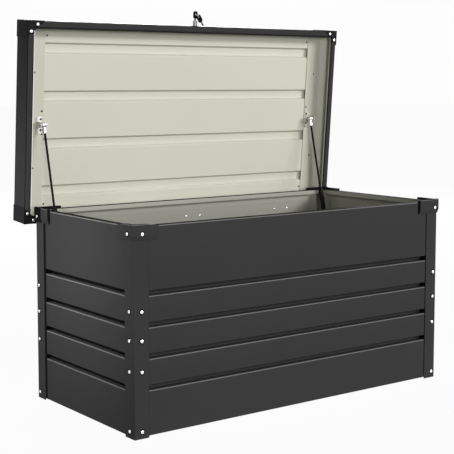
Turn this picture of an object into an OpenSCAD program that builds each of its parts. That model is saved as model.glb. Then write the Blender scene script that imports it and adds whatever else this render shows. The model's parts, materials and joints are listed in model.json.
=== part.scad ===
// Deck storage box of folded sheet steel, with a tray-shaped lid held open by two struts.
// Body coordinates: X right, Y back, Z up from the underside of the posts, with x = 0 and
// y = 0 on the outer faces of the front left post. The lid is built closed, in the same
// coordinates, and then turned open about its hinge axis. The finished part is centred on
// X and Y, and stands on Z = 0.

/* [Box] */
// Length over the outer faces of the posts
body_length = 1138; // [900:1:1400]
// Depth over the outer faces of the posts
body_depth = 538; // [460:1:640]
// Height of the rim above the ground
rim_height = 567; // [540:1:640]
// Clear height under the floor and the wall panels
ground_gap = 5; // [3:0.5:10]

/* [Sheet metal] */
// Thickness of the corner posts
post_sheet = 2; // [1.5:0.1:3]
// Thickness of the wall panels and the floor
panel_sheet = 0.8; // [0.6:0.1:1.2]
// Thickness of the rim rails and the lid's rails
rail_sheet = 1.2; // [1:0.1:1.6]
// Thickness of the lid's corner caps
lid_cap_sheet = 1.5; // [1.2:0.1:2]

/* [Corner posts] */
// Width of each leg of a post
post_leg = 46; // [38:1:60]
// Distance of the screws from the post's edge at the front left corner
screw_inset_near = 24; // [20:1:28]
// Distance of the screws from the post's edge at the far corners
screw_inset_far = 14; // [12:1:20]
// Heights of the post screws below the cap screw
post_screw_heights = [19, 180, 263, 341];
// Distance of the rim cap's screw below the rim
cap_screw_below = 20; // [14:1:28]

/* [Wall grooves] */
// Distance of the top groove's lower edge below the rim
groove_top_below = 186; // [150:1:200]
// Distance from one groove to the next
groove_pitch = 84.6; // [70:0.1:88]
// Number of grooves in each wall
groove_count = 4; // [2:1:4]
// Height of a groove's mouth
groove_height = 14; // [10:0.5:20]
// Depth of a groove behind the panel's face
groove_depth = 24; // [12:0.5:26]
// How far a groove runs on behind the post's edge
groove_tuck = 6; // [4:0.5:10]

/* [Floor] */
// Height of the floor pan's upturned edge
floor_flange = 30; // [20:1:40]

/* [Rim] */
// Width of the rim's top lip
rim_lip = 26; // [18:1:30]
// Width of the top lip along the rear wall
rear_lip = 20; // [14:1:24]
// Height of the rim rail's leg behind the panel
rim_leg = 36; // [30:1:36]
// Height of the rim lip's downturned edge
rim_return = 14; // [8:1:20]

/* [Rim caps] */
// Length of each arm of a rim cap from the corner
rim_cap_arm = 84; // [60:1:110]
// Height of the rim cap's side plates
rim_cap_height = 43; // [36:1:50]
// How far a rim cap stands out from the posts
rim_cap_out = 4.5; // [3:0.1:5]
// Thickness of the rim cap above the rim
rim_cap_top = 6; // [4:0.1:6]
// How far the top of a rim cap reaches inwards
rim_cap_in = 6; // [4:0.5:10]
// Diameter of the rubber pads on the rim caps
pad_d = 9; // [7:0.5:10]
// Gap between the pads and the closed lid
pad_gap = 0.2; // [0.1:0.1:1]

/* [Screws] */
// Diameter of the post screws' heads
screw_head_d = 9.6; // [8:0.1:11]
// Height of the post screws' heads
screw_head_h = 2; // [1.5:0.1:2]
// Shank diameter of the post screws
screw_d = 5; // [4:0.1:6]
// Width across the flats of the nuts
nut_flats = 8; // [7:0.5:9]
// Height of the nuts
nut_h = 3.6; // [3:0.1:5]
// Length of a shank beyond its nut
screw_tail = 1; // [0.5:0.1:1.5]
// Radial clearance of a screw in its hole
screw_clearance = 0.3; // [0.1:0.05:0.5]

/* [Lid] */
// How far the lid overhangs the posts
lid_overhang = 31; // [28:0.5:36]
// Height of the closed lid's underside below the rim
lid_drop = 44.5; // [40:0.5:50]
// Height of the lid's corner caps
lid_cap_height = 71.5; // [70:0.5:76]
// Length of a lid cap along each skirt
lid_cap_arm = 50; // [40:1:70]
// Leg length of the triangular gusset under a lid corner
gusset_leg = 47; // [42:0.5:47]
// Distance of a gusset screw from the nearer edge of the lid
gusset_screw_edge = 11.5; // [10:0.5:13]
// Distance of a gusset screw along the edge from the corner
gusset_screw_along = 32; // [28:0.5:34]
// Width of the flange under the lid's rails
lid_flange = 21.5; // [18:0.5:21.5]
// Height of the upturned lip on the flange
lid_lip = 6; // [4:0.5:6]
// Width of the rail's upper web
lid_web = 40; // [30:1:50]
// Angle of the opened lid
open_angle = 85.67; // [60:0.01:88]

/* [Lid lining] */
// Height of the lining above the lid's underside
liner_level = 53; // [52.5:0.5:54]
// Distance of the lining's side seams from the posts' outer faces
seam_inset = 54; // [50:1:60]
// Width of the seam's overlap
seam_overlap = 10; // [6:1:14]
// Number of ribs pressed into the lining and of beads on the lid's skin
rib_count = 4; // [2:1:4]
// Distance from the lid's rear edge to the first rib
rib_first = 87; // [70:1:100]
// Distance between ribs
rib_pitch = 143.7; // [120:0.1:144]
// Width of a rib
rib_width = 36; // [24:1:44]
// Depth of a rib in the lining
rib_depth = 8; // [4:0.5:10]
// Height of a bead on the lid's skin
bead_height = 3; // [1:0.5:4]
// Height of the skin's folded edge under its sheet
skin_edge = 2.7; // [1:0.1:4]
// Distance from a seam to the ends of the ribs
rib_gap = 2; // [1:0.5:4]
// Places of the lining's screws from the lid's rear edge, as shares of the lid's depth
lining_screw_shares = [0.08, 0.2642, 0.7425, 0.9267];
// Shank diameter of the lining's screws
lining_screw_d = 3; // [2.5:0.5:4]
// Head diameter of the lining's screws
lining_screw_head_d = 6; // [5:0.5:8]
// Head height of the lining's screws
lining_screw_head_h = 1.2; // [0.8:0.1:1.6]
// Shank length of the lining's screws
lining_screw_length = 3; // [2:0.5:6]

/* [Hinges] */
// Distance of the hinge axis behind the posts
hinge_back = 23.47; // [22:0.01:24]
// Distance of the hinge axis below the rim
hinge_below = 37.14; // [36:0.01:38]
// Distance of the outer hinges from the ends of the body
hinge_inset = 200; // [150:1:300]
// Width of a hinge
hinge_width = 80; // [60:1:100]
// Outside diameter of the hinge knuckles
knuckle_d = 8; // [7.5:0.1:8]
// Width of the middle knuckle
knuckle_width = 29; // [20:1:30]
// Side gap between knuckles
knuckle_gap = 0.5; // [0.3:0.1:1]
// Diameter of the hinge pins
hinge_pin_d = 4; // [3:0.1:4.5]
// Thickness of the hinge leaves
leaf_sheet = 1.6; // [1.2:0.1:1.6]
// Height of the leaf on the rear wall
body_leaf_height = 39; // [30:1:50]
// Height of the lid leaf's upper edge above the lid's underside
lid_leaf_level = 45; // [40:1:50]
// Clearance between the lid leaf's wide part and the knuckles
leaf_clearance = 1.5; // [1:0.1:3]
// Distance of the rivets from the middle of a hinge
rivet_spread = 28; // [20:1:34]
// Height of the rivets above the body leaf's lower edge
body_rivet_up = 14; // [8:1:20]
// Height of the rivets above the lid's underside
lid_rivet_level = 30; // [24:1:38]
// Shank diameter of the rivets
rivet_d = 4; // [3:0.5:5]
// Diameter of the rivets' heads
rivet_head_d = 7; // [6:0.5:9]
// Height of the rivets' heads
rivet_head_h = 1.5; // [1:0.1:2]
// Diameter of the heads on the hinge pins
pin_head_d = 6.4; // [5.5:0.1:7]
// Height of the heads on the hinge pins
pin_head_h = 1.6; // [1:0.1:2]
// Side gap between the lid rail's notches and the hinges
notch_gap = 1.5; // [1:0.5:4]
// Radial clearance of every turning or sliding fit
running_clearance = 0.05; // [0.02:0.01:0.09]

/* [Struts] */
// Distance of a strut's centre line from the end of the body
strut_inset = 44; // [40:1:50]
// Distance of the upper pivot from the lid's rear edge
strut_lid_along = 291.5; // [280:0.5:300]
// Height of the upper pivot above the lid's underside
strut_lid_level = 30.5; // [28:0.5:34]
// Distance of the lower pivot from the rear posts' outer faces
strut_foot_back = 91; // [85:1:100]
// Distance of the lower pivot below the rim
strut_foot_below = 234; // [225:1:240]
// Outside diameter of the gas cylinder
tube_d = 16; // [14:0.5:18]
// Wall of the gas cylinder
tube_wall = 1.5; // [1:0.1:2]
// Diameter of the rod
rod_d = 7; // [6:0.1:9]
// Distance from the upper pivot to the cylinder's end in the open pose
rod_shown = 248; // [246:1:252]
// Length of the rod's end fitting from the pivot
fitting_length = 27; // [20:1:27]
// Diameter of the end fitting's sleeve
fitting_d = 11; // [9:0.5:13]
// Diameter of the eyes at both ends
eye_d = 16; // [14:0.5:16]
// Width of the upper eye
eye_width = 12; // [8:1:14]
// Diameter of the stud in the upper eye
stud_d = 8; // [6:0.5:9]
// Diameter of the stud's head
stud_head_d = 12; // [10:0.5:14]
// Thickness of the stud's head
stud_head_h = 1.6; // [1:0.1:2.5]
// Thickness of the strut brackets
bracket_sheet = 2; // [1.5:0.1:3]
// Width of the upper bracket's plate
stud_plate_width = 24; // [22:1:26]
// Length of the upper bracket's plate
stud_plate_length = 67; // [50:1:80]
// Distance of the plate's lower edge from the upper pivot
stud_plate_before = 33.5; // [24:0.5:40]
// Gap between the upper bracket's leg and the rim's lip
stud_leg_gap = 1; // [0.5:0.1:3]
// Width of the upper bracket's leg
stud_leg_width = 30; // [24:1:34]
// Length and height of the lower bracket's plate
foot_plate = [56, 32];
// Diameter of the lower bracket's spacer
spacer_d = 14; // [12:0.5:16]
// Side gap between the lower bracket's spacer and the cylinder's eye
foot_gap = 0.4; // [0.3:0.1:1]
// Length of the gland at the cylinder's end
gland_length = 6; // [5:0.5:8]
// Length of the piston
piston_length = 6; // [4:0.5:8]
// Gap between the piston and the gland in the open pose
piston_gap = 2; // [1:0.5:3]
// Distance from the cylinder's closed end to the lower pivot
foot_neck = 12; // [10:0.5:13]
// Thickness of the cylinder's closed end
cylinder_base = 2; // [1:0.5:2]

/* [Lock] */
// Height of the lock's axis above the lid's underside
lock_level = 13; // [12:0.5:16]
// Diameter of the lock's barrel
barrel_d = 14; // [12:0.5:15]
// Length of the barrel in front of the skirt
barrel_out = 18.5; // [12:0.5:20]
// Diameter of the turning plug
plug_d = 8; // [7:0.5:9]
// Length of the cam from the lock's axis
cam_reach = 22; // [16:1:26]
// Width of a key's bow
bow_width = 15; // [13:0.5:18]
// Length of the inserted key's bow
bow_length = 23; // [20:0.5:26]
// Length of the spare key's bow
spare_bow_length = 26; // [22:0.5:28]
// Thickness of both bows
bow_thickness = 2.4; // [2:0.1:2.5]
// Angle of the spare key away from the lock's axis
spare_tilt = 35; // [30:1:45]
// Thickness of the lock's washer
washer_t = 1.2; // [0.8:0.1:2]
// Width of the washer beyond the barrel
washer_rim = 2.5; // [1.5:0.5:4]
// Diameter of the barrel's threaded shank
thread_d = 12; // [11:0.5:12]
// Distance of the shank's end from the posts' faces
thread_end = 14; // [12:0.5:18]
// Width across the flats of the lock's nut
lock_nut_flats = 16; // [15:0.5:17]
// Height of the lock's nut
lock_nut_t = 4; // [3:0.5:6]
// Thickness of the cam
cam_t = 2.5; // [2:0.1:3]
// Width of the cam
cam_width = 12; // [10:0.5:14]
// Length of the key's shoulder in front of the barrel
key_shoulder = 6; // [4:0.5:8]
// Width of the inserted blade
blade_w = 6; // [5:0.5:7]
// Thickness of both blades
blade_t = 2; // [1.5:0.1:2.2]
// Clearance of the blade in the plug on each side
blade_clearance = 0.1; // [0.05:0.01:0.2]
// Radius of the key ring
ring_r = 4.2; // [4:0.1:6]
// Thickness of the key ring's wire
ring_wire = 1; // [0.8:0.1:1.2]
// Length of the spare key's blade
spare_blade_length = 15; // [12:0.5:15]
// Width of the spare key's blade
spare_blade_width = 3.5; // [3:0.1:6]

/* [Hidden] */

cap_screw_height = rim_height - cap_screw_below;
round_fn = 32;
small_fn = 24;
anthracite = [0.25, 0.25, 0.26];
cream = [0.83, 0.83, 0.77];
steel = [0.8, 0.81, 0.82];
black = [0.07, 0.07, 0.07];

// Body
panel_face = post_sheet;
panel_back = panel_face + panel_sheet;
rail_back = panel_back + rail_sheet;
rim_under = rim_height - rail_sheet;
groove_start = post_leg - groove_tuck;
groove_floor = panel_face + groove_depth;
groove_edges = [for (i = [0 : groove_count - 1])
    rim_height - groove_top_below - i * groove_pitch];
cap_top = rim_height + rim_cap_top;
cap_foot = cap_top - rim_cap_height;

// Lid, as distances outwards from the posts' faces and heights over the lid's underside
lid_zero = rim_height - lid_drop;
rail_out = lid_overhang - lid_cap_sheet;
rail_in = rail_out - rail_sheet;
flange_in = rail_out - lid_flange;
flange_level = lid_cap_sheet;
skin_sheet = panel_sheet;
cap_plate_level = lid_cap_height - lid_cap_sheet;
skin_level = cap_plate_level - skin_sheet;
web_top = skin_level - skin_edge;
web_under = web_top - rail_sheet;
end_plate_level = liner_level - panel_sheet;
rib_lines = [for (i = [0 : rib_count - 1])
    body_depth + lid_overhang - rib_first - i * rib_pitch];
rib_end = seam_inset + rib_gap;

// Hinges
axis_y = body_depth + hinge_back;
axis_z = rim_height - hinge_below;
hinge_places = [hinge_inset, body_length / 2, body_length - hinge_inset];
knuckle_r = knuckle_d / 2;
arm_top = axis_z + knuckle_r;
leaf_foot = arm_top - body_leaf_height;
lid_leaf_top = lid_zero + lid_leaf_level;
leaf_bottom = axis_z + knuckle_r + leaf_clearance;
body_rivet_z = leaf_foot + body_rivet_up;
lid_rivet_z = lid_zero + lid_rivet_level;

// Struts in the open pose, with s measured from the upper pivot towards the lower one
pivot_closed = [body_depth + lid_overhang - strut_lid_along, lid_zero + strut_lid_level];
pivot = [turned_y(pivot_closed), turned_z(pivot_closed)];
foot = [body_depth - strut_foot_back, rim_height - strut_foot_below];
strut_open = norm(foot - pivot);
strut_closed = norm(foot - pivot_closed);
strut_lean = atan2(foot[0] - pivot[0], pivot[1] - foot[1]);
piston_start = rod_shown + gland_length + piston_gap;
cylinder_end = strut_open - foot_neck;
bracket_reach = strut_inset - tube_d / 2 - foot_gap;
stud_leg_x = panel_face + rim_lip + stud_leg_gap;
stud_end = strut_inset + eye_width / 2 + foot_gap;

// Lock, with n measured outwards from the posts' faces
lock_z = lid_zero + lock_level;
barrel_end = rail_out + barrel_out;
cam_gap = 0.5;
cam_n = thread_end - cam_gap - cam_t;
plug_end = cam_n - 1;
bow_n = barrel_end + key_shoulder;
bow_top_n = bow_n + bow_length;
slot_depth = 16;
// Where the ring passes through the inserted key's bow, as [x from the axis, n]
ring_hole = [3.4, bow_top_n - 12.5];
bow_gap = 0.2;
bow_spacing = bow_thickness + bow_gap;
ring_span = 2 * sqrt(pow(ring_r, 2) - pow(bow_spacing / 2, 2));
ring_lean = 30;
spare_hole = ring_hole + ring_span * [cos(ring_lean), -sin(ring_lean)];
spare_hole_inset = 5.6;
bow_slot_d = 4;
hole_cut = 40;

// Placing of the whole part
front_most = -(rim_cap_out + screw_head_h);
back_most = turned_y([body_depth + lid_overhang, lid_zero + lid_cap_height]);
centre_y = (front_most + back_most) / 2;

// A point [y, z] of the closed lid, turned to the open pose
function turned_y(p) = axis_y + (p[0] - axis_y) * cos(open_angle) + (p[1] - axis_z) * sin(open_angle);
function turned_z(p) = axis_z - (p[0] - axis_y) * sin(open_angle) + (p[1] - axis_z) * cos(open_angle);

module block(low, high) {
    translate(low) cube(high - low);
}

module place_body() {
    translate([-body_length / 2, -centre_y, 0]) children();
}

module place_lid() {
    place_body()
        translate([0, axis_y, axis_z])
            rotate([-open_angle, 0, 0])
                translate([0, -axis_y, -axis_z]) children();
}

// Things of a strut are drawn along -Z from its upper pivot at the origin
module place_strut() {
    place_body()
        translate([strut_inset, pivot[0], pivot[1]])
            rotate([strut_lean, 0, 0]) children();
}

module at_right(right) {
    if (right) translate([body_length, 0, 0]) mirror([1, 0, 0]) children();
    else children();
}

module at_rear(rear) {
    if (rear) translate([0, body_depth, 0]) mirror([0, 1, 0]) children();
    else children();
}

module swap_xy() {
    mirror([1, -1, 0]) children();
}

// Screws and holes point along -Z, with the head's seat at z = 0
module screw_body(grip, head_d, head_h, shank_d, flats, nut) {
    cylinder(d = head_d, h = head_h, $fn = small_fn);
    translate([0, 0, -grip - nut - screw_tail])
        cylinder(d = shank_d, h = grip + nut + screw_tail, $fn = small_fn);
    translate([0, 0, -grip - nut])
        rotate([0, 0, 30]) cylinder(d = flats / cos(30), h = nut, $fn = 6);
}

// Turns a thing that points along -Z so that it points along +Y, into the front wall
module into_front() {
    rotate([90, 0, 0]) children();
}

// Screw columns of the front face: [x, ...] and of the left face: [y, ...]
function front_columns() = [screw_inset_near, body_length - screw_inset_far];
function side_columns() = [screw_inset_near, body_depth - screw_inset_far];

function screw_grip(z) = z < ground_gap + floor_flange
    ? panel_back + panel_sheet : panel_back;

module post_screw(z) {
    screw_body(screw_grip(z), screw_head_d, screw_head_h, screw_d, nut_flats, nut_h);
}

module cap_screw() {
    screw_body(rim_cap_out + rail_back, screw_head_d, screw_head_h, screw_d, nut_flats, nut_h);
}

module front_face_screws() {
    for (x = front_columns()) {
        for (z = post_screw_heights) translate([x, 0, z]) into_front() post_screw(z);
        translate([x, -rim_cap_out, cap_screw_height]) into_front() cap_screw();
    }
}

module side_face_screws() {
    for (y = side_columns()) {
        for (z = post_screw_heights)
            translate([0, y, z]) swap_xy() into_front() post_screw(z);
        translate([-rim_cap_out, y, cap_screw_height]) swap_xy() into_front() cap_screw();
    }
}

module screw_hole() {
    cylinder(r = screw_d / 2 + screw_clearance, h = hole_cut, center = true, $fn = small_fn);
}

module front_face_holes() {
    for (x = front_columns())
        for (z = concat(post_screw_heights, [cap_screw_height]))
            translate([x, 0, z]) into_front() screw_hole();
}

module side_face_holes() {
    for (y = side_columns())
        for (z = concat(post_screw_heights, [cap_screw_height]))
            translate([0, y, z]) swap_xy() into_front() screw_hole();
}

// All four faces' holes, for the pieces that turn a corner
module all_holes() {
    for (rear = [false, true]) at_rear(rear) front_face_holes();
    for (right = [false, true]) at_right(right) side_face_holes();
}

// Corner posts
module post(right, rear) {
    color(anthracite)
        place_body()
            difference() {
                at_right(right) at_rear(rear)
                    difference() {
                        block([0, 0, 0], [post_leg, post_leg, rim_height]);
                        block([post_sheet, post_sheet, -1],
                              [post_leg + 1, post_leg + 1, rim_height + 1]);
                    }
                all_holes();
            }
}

// A wall panel seen from the front, from x = start to x = run - start
module panel(run, start) {
    difference() {
        union() {
            block([start, panel_face, ground_gap], [run - start, panel_back, rim_under]);
            for (edge = groove_edges)
                block([groove_start, panel_face, edge - panel_sheet],
                      [run - groove_start, groove_floor + panel_sheet,
                       edge + groove_height + panel_sheet]);
        }
        for (edge = groove_edges)
            block([groove_start - 1, panel_back, edge],
                  [run - groove_start + 1, groove_floor, edge + groove_height]);
        for (edge = groove_edges)
            block([groove_start, panel_face - 1, edge],
                  [run - groove_start, panel_back + 1, edge + groove_height]);
    }
}

module wall_long(rear) {
    color(anthracite)
        place_body()
            at_rear(rear)
                difference() {
                    panel(body_length, panel_face);
                    front_face_holes();
                    if (rear) at_rear(true) rivet_holes(body_rivet_z);
                }
}

module wall_short(right) {
    color(anthracite)
        place_body()
            at_right(right)
                difference() {
                    swap_xy() panel(body_depth, panel_back);
                    side_face_holes();
                }
}

module plug_pair(run) {
    for (edge = groove_edges)
        for (x = [groove_start, run - post_leg])
            block([x, panel_face, edge], [x + groove_tuck, groove_floor, edge + groove_height]);
}

module groove_plugs() {
    color(black)
        place_body() {
            for (rear = [false, true]) at_rear(rear) plug_pair(body_length);
            for (right = [false, true]) at_right(right) swap_xy() plug_pair(body_depth);
        }
}

module floor_pan() {
    low = panel_back;
    color(cream)
        place_body()
            difference() {
                block([low, low, ground_gap],
                      [body_length - low, body_depth - low, ground_gap + floor_flange]);
                block([low + panel_sheet, low + panel_sheet, ground_gap + panel_sheet],
                      [body_length - low - panel_sheet, body_depth - low - panel_sheet,
                       ground_gap + floor_flange + 1]);
                all_holes();
            }
}

module rim_rail_long(rear) {
    lip = rear ? rear_lip : rim_lip;
    edge = panel_face + lip;
    color(anthracite)
        place_body()
            at_rear(rear)
                difference() {
                    union() {
                        block([panel_back, panel_back, rim_under - rim_leg],
                              [body_length - panel_back, rail_back, rim_height]);
                        block([panel_back, panel_face, rim_under],
                              [body_length - panel_back, edge, rim_height]);
                        block([panel_face + rim_lip, edge - rail_sheet, rim_height - rim_return],
                              [body_length - panel_face - rim_lip, edge, rim_height]);
                    }
                    front_face_holes();
                }
}

module rim_rail_short(right) {
    edge = panel_face + rim_lip;
    rear_edge = body_depth - panel_face - rear_lip;
    color(anthracite)
        place_body()
            at_right(right)
                difference() {
                    union() {
                        block([panel_back, rail_back, rim_under - rim_leg],
                              [rail_back, body_depth - rail_back, rim_under]);
                        block([panel_face, edge, rim_under], [edge, rear_edge, rim_height]);
                        block([panel_back, edge, rim_under - rim_leg],
                              [rail_back, rear_edge, rim_height]);
                        block([edge - rail_sheet, edge, rim_height - rim_return],
                              [edge, rear_edge, rim_height]);
                    }
                    side_face_holes();
                }
}

module rim_cap_arms() {
    block([-rim_cap_out, -rim_cap_out, cap_foot], [rim_cap_arm, 0, cap_top]);
    block([post_leg, -rim_cap_out, cap_foot], [rim_cap_arm, panel_face, rim_height]);
    block([-rim_cap_out, -rim_cap_out, rim_height], [rim_cap_arm, rim_cap_in, cap_top]);
}

module rim_cap(right, rear) {
    color(black)
        place_body()
            difference() {
                at_right(right) at_rear(rear) {
                    rim_cap_arms();
                    swap_xy() rim_cap_arms();
                }
                all_holes();
            }
}

module rim_pads() {
    pad_at = (rim_cap_in - rim_cap_out) / 2;
    pad_h = lid_zero + end_plate_level - pad_gap - cap_top;
    color(black)
        place_body()
            for (right = [false, true], rear = [false, true])
                at_right(right) at_rear(rear)
                    translate([pad_at, pad_at, cap_top])
                        cylinder(d = pad_d, h = pad_h, $fn = small_fn);
}

module post_screws() {
    color(steel)
        place_body() {
            for (rear = [false, true]) at_rear(rear) front_face_screws();
            for (right = [false, true]) at_right(right) side_face_screws();
        }
}

// Hinges: each is drawn about x = 0, in body coordinates for y and z
module along_x(x, y, z) {
    translate([x, y, z]) rotate([0, 90, 0]) children();
}

module at_hinges() {
    for (x = hinge_places) translate([x, 0, 0]) children();
}

module pin_bore() {
    along_x(0, axis_y, axis_z)
        cylinder(r = hinge_pin_d / 2 + running_clearance, h = hinge_width + 2,
                 center = true, $fn = round_fn);
}

module body_leaf() {
    half = hinge_width / 2;
    middle = knuckle_width / 2 + knuckle_gap;
    face = body_depth - panel_face;
    difference() {
        union() {
            block([-half, face, leaf_foot], [half, face + leaf_sheet, arm_top]);
            block([-half, face, arm_top - leaf_sheet], [half, axis_y, arm_top]);
            along_x(0, axis_y, axis_z)
                cylinder(d = knuckle_d, h = hinge_width, center = true, $fn = round_fn);
        }
        block([-middle, axis_y - knuckle_r - 1, axis_z - knuckle_d],
              [middle, axis_y + knuckle_r + 1, arm_top + 1]);
        pin_bore();
    }
}

module rivet_holes(z) {
    at_hinges()
        for (side = [-1, 1])
            translate([side * rivet_spread, body_depth, z])
                rotate([90, 0, 0])
                    cylinder(d = rivet_d, h = 2 * hole_cut, center = true, $fn = small_fn);
}

module hinge_body_leaves() {
    color(steel)
        place_body()
            difference() {
                at_hinges() body_leaf();
                rivet_holes(body_rivet_z);
            }
}

module hinge_pins() {
    color(steel)
        place_body()
            at_hinges()
                along_x(0, axis_y, axis_z) {
                    cylinder(d = hinge_pin_d, h = hinge_width + 2, center = true, $fn = round_fn);
                    for (side = [0, 1])
                        mirror([0, 0, side])
                            translate([0, 0, hinge_width / 2 + knuckle_gap])
                                cylinder(d = pin_head_d, h = pin_head_h, $fn = round_fn);
                }
}

// A rivet along Y through y = low to y = high, with a head at each end
module rivet(side, low, high, z) {
    translate([side * rivet_spread, low - rivet_head_h, z])
        rotate([-90, 0, 0]) {
            cylinder(d = rivet_head_d, h = rivet_head_h, $fn = small_fn);
            cylinder(d = rivet_d, h = high - low + 2 * rivet_head_h, $fn = small_fn);
            translate([0, 0, high - low + rivet_head_h])
                cylinder(d = rivet_head_d, h = rivet_head_h, $fn = small_fn);
        }
}

module hinge_body_rivets() {
    color(steel)
        place_body()
            at_hinges()
                for (side = [-1, 1])
                    rivet(side, body_depth - panel_back,
                          body_depth - panel_face + leaf_sheet, body_rivet_z);
}

module strut_bracket(right) {
    low = foot - foot_plate / 2;
    high = foot + foot_plate / 2;
    color(steel)
        place_body()
            at_right(right) {
                block([panel_back, low[0], low[1]],
                      [panel_back + bracket_sheet, high[0], high[1]]);
                along_x(panel_back, foot[0], foot[1])
                    cylinder(d = spacer_d, h = bracket_reach - panel_back, $fn = round_fn);
            }
}

// Lid pieces, in closed coordinates
module lid_skin() {
    low = lid_zero + web_top;
    top = lid_zero + cap_plate_level;
    bead_x = seam_inset;
    color(anthracite)
        place_lid()
            difference() {
                union() {
                    block([-rail_out, -rail_out, low],
                          [body_length + rail_out, body_depth + rail_out, top]);
                    for (y = rib_lines)
                        block([bead_x, y - rib_width / 2, top - 1],
                              [body_length - bead_x, y + rib_width / 2, top + bead_height]);
                }
                block([-rail_out + skin_sheet, -rail_out + skin_sheet, low - 1],
                      [body_length + rail_out - skin_sheet, body_depth + rail_out - skin_sheet,
                       top - skin_sheet]);
                for (y = rib_lines)
                    block([bead_x + skin_sheet, y - rib_width / 2 + skin_sheet, low - 1],
                          [body_length - bead_x - skin_sheet, y + rib_width / 2 - skin_sheet,
                           top + bead_height - skin_sheet]);
            }
}

module lid_lining() {
    edge = seam_inset - seam_overlap;
    level = lid_zero + liner_level;
    color(cream)
        place_lid()
            difference() {
                union() {
                    block([edge, -rail_in, level],
                          [body_length - edge, body_depth + rail_in, level + panel_sheet]);
                    for (y = rib_lines)
                        block([rib_end - panel_sheet, y - rib_width / 2 - panel_sheet, level],
                              [body_length - rib_end + panel_sheet,
                               y + rib_width / 2 + panel_sheet,
                               level + rib_depth + panel_sheet]);
                    for (rear = [false, true])
                        at_rear(rear)
                            block([edge, -rail_in, level],
                                  [body_length - edge, panel_sheet - rail_in,
                                   lid_zero + web_under]);
                }
                for (y = rib_lines)
                    block([rib_end, y - rib_width / 2, level - 1],
                          [body_length - rib_end, y + rib_width / 2, level + rib_depth]);
                lining_screw_holes();
            }
}

module lid_end_plate(right) {
    level = lid_zero + end_plate_level;
    edge = seam_inset - seam_overlap - 0.5;
    color(cream)
        place_lid()
            at_right(right)
                difference() {
                    union() {
                        block([-rail_in, -rail_in, level],
                              [seam_inset, body_depth + rail_in, level + panel_sheet]);
                        block([-rail_in, -rail_in, level],
                              [panel_sheet - rail_in, body_depth + rail_in,
                               lid_zero + web_under]);
                        for (rear = [false, true])
                            at_rear(rear)
                                block([-rail_in, -rail_in, level],
                                      [edge, panel_sheet - rail_in, lid_zero + web_under]);
                    }
                    lining_screw_holes();
                }
}

module lid_rail_long(rear) {
    notch = hinge_width / 2 + notch_gap;
    flange_top = flange_level + rail_sheet + lid_lip;
    color(anthracite)
        place_lid()
            difference() {
                at_rear(rear) {
                    block([-rail_out, -rail_out, lid_zero + flange_level],
                          [body_length + rail_out, -rail_in, lid_zero + web_top]);
                    block([-rail_out, -rail_out, lid_zero + flange_level],
                          [body_length + rail_out, -flange_in,
                           lid_zero + flange_level + rail_sheet]);
                    block([-flange_in, -flange_in - rail_sheet, lid_zero + flange_level],
                          [body_length + flange_in, -flange_in,
                           lid_zero + flange_level + rail_sheet + lid_lip]);
                    block([-rail_out, -rail_out, lid_zero + web_under],
                          [body_length + rail_out, lid_web - rail_out, lid_zero + web_top]);
                }
                gusset_holes();
                if (rear) {
                    at_hinges()
                        block([-notch, body_depth - 1, lid_zero - 1],
                              [notch, body_depth + rail_in, lid_zero + flange_top + 1]);
                    rivet_holes(lid_rivet_z);
                } else
                    lock_hole(thread_d / 2);
            }
}

module lid_rail_short(right) {
    color(anthracite)
        place_lid()
            difference() {
                at_right(right) {
                    block([-rail_out, -rail_in, lid_zero + flange_level + rail_sheet],
                          [-rail_in, body_depth + rail_in, lid_zero + web_under]);
                    block([-rail_out, -flange_in, lid_zero + flange_level],
                          [-flange_in, body_depth + flange_in,
                           lid_zero + flange_level + rail_sheet]);
                    block([-flange_in - rail_sheet, -flange_in, lid_zero + flange_level],
                          [-flange_in, body_depth + flange_in,
                           lid_zero + flange_level + rail_sheet + lid_lip]);
                    block([-rail_out, lid_web - rail_out, lid_zero + web_under],
                          [lid_web - rail_out, body_depth + rail_out - lid_web,
                           lid_zero + web_top]);
                }
                gusset_holes();
            }
}

module gusset_screw_places() {
    for (right = [false, true], rear = [false, true])
        at_right(right) at_rear(rear)
            for (swap = [false, true]) {
                spot = [gusset_screw_along - lid_overhang, gusset_screw_edge - lid_overhang];
                translate([swap ? spot[1] : spot[0], swap ? spot[0] : spot[1], lid_zero])
                    children();
            }
}

module gusset_holes() {
    gusset_screw_places() screw_hole();
}

module lid_cap(right, rear) {
    arm = lid_cap_arm - lid_overhang;
    corner = -rail_out;
    color(black)
        place_lid()
            difference() {
                at_right(right) at_rear(rear) {
                    block([-lid_overhang, -lid_overhang, lid_zero],
                          [arm, -rail_out, lid_zero + lid_cap_height]);
                    block([-lid_overhang, -lid_overhang, lid_zero],
                          [-rail_out, arm, lid_zero + lid_cap_height]);
                    block([corner, corner, lid_zero + cap_plate_level],
                          [arm, arm, lid_zero + lid_cap_height]);
                    translate([-lid_overhang, -lid_overhang, lid_zero])
                        linear_extrude(lid_cap_sheet)
                            polygon([[0, 0], [gusset_leg, 0], [0, gusset_leg]]);
                }
                gusset_holes();
            }
}

module lid_screws() {
    color(steel)
        place_lid()
            gusset_screw_places()
                mirror([0, 0, 1])
                    screw_body(flange_level + rail_sheet, screw_head_d, screw_head_h, screw_d,
                               nut_flats, nut_h);
}

module lining_screw_places() {
    for (right = [false, true])
        at_right(right)
            for (share = lining_screw_shares)
                translate([seam_inset - seam_overlap / 2,
                           body_depth + lid_overhang - share * (body_depth + 2 * lid_overhang),
                           lid_zero + end_plate_level])
                    children();
}

module lining_screw_holes() {
    lining_screw_places()
        cylinder(d = lining_screw_d, h = 2 * lining_screw_length, center = true, $fn = small_fn);
}

module lining_screws() {
    color(black)
        place_lid()
            lining_screw_places() {
                cylinder(d = lining_screw_d, h = lining_screw_length, $fn = small_fn);
                translate([0, 0, -lining_screw_head_h])
                    cylinder(d = lining_screw_head_d, h = lining_screw_head_h, $fn = small_fn);
            }
}

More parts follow.
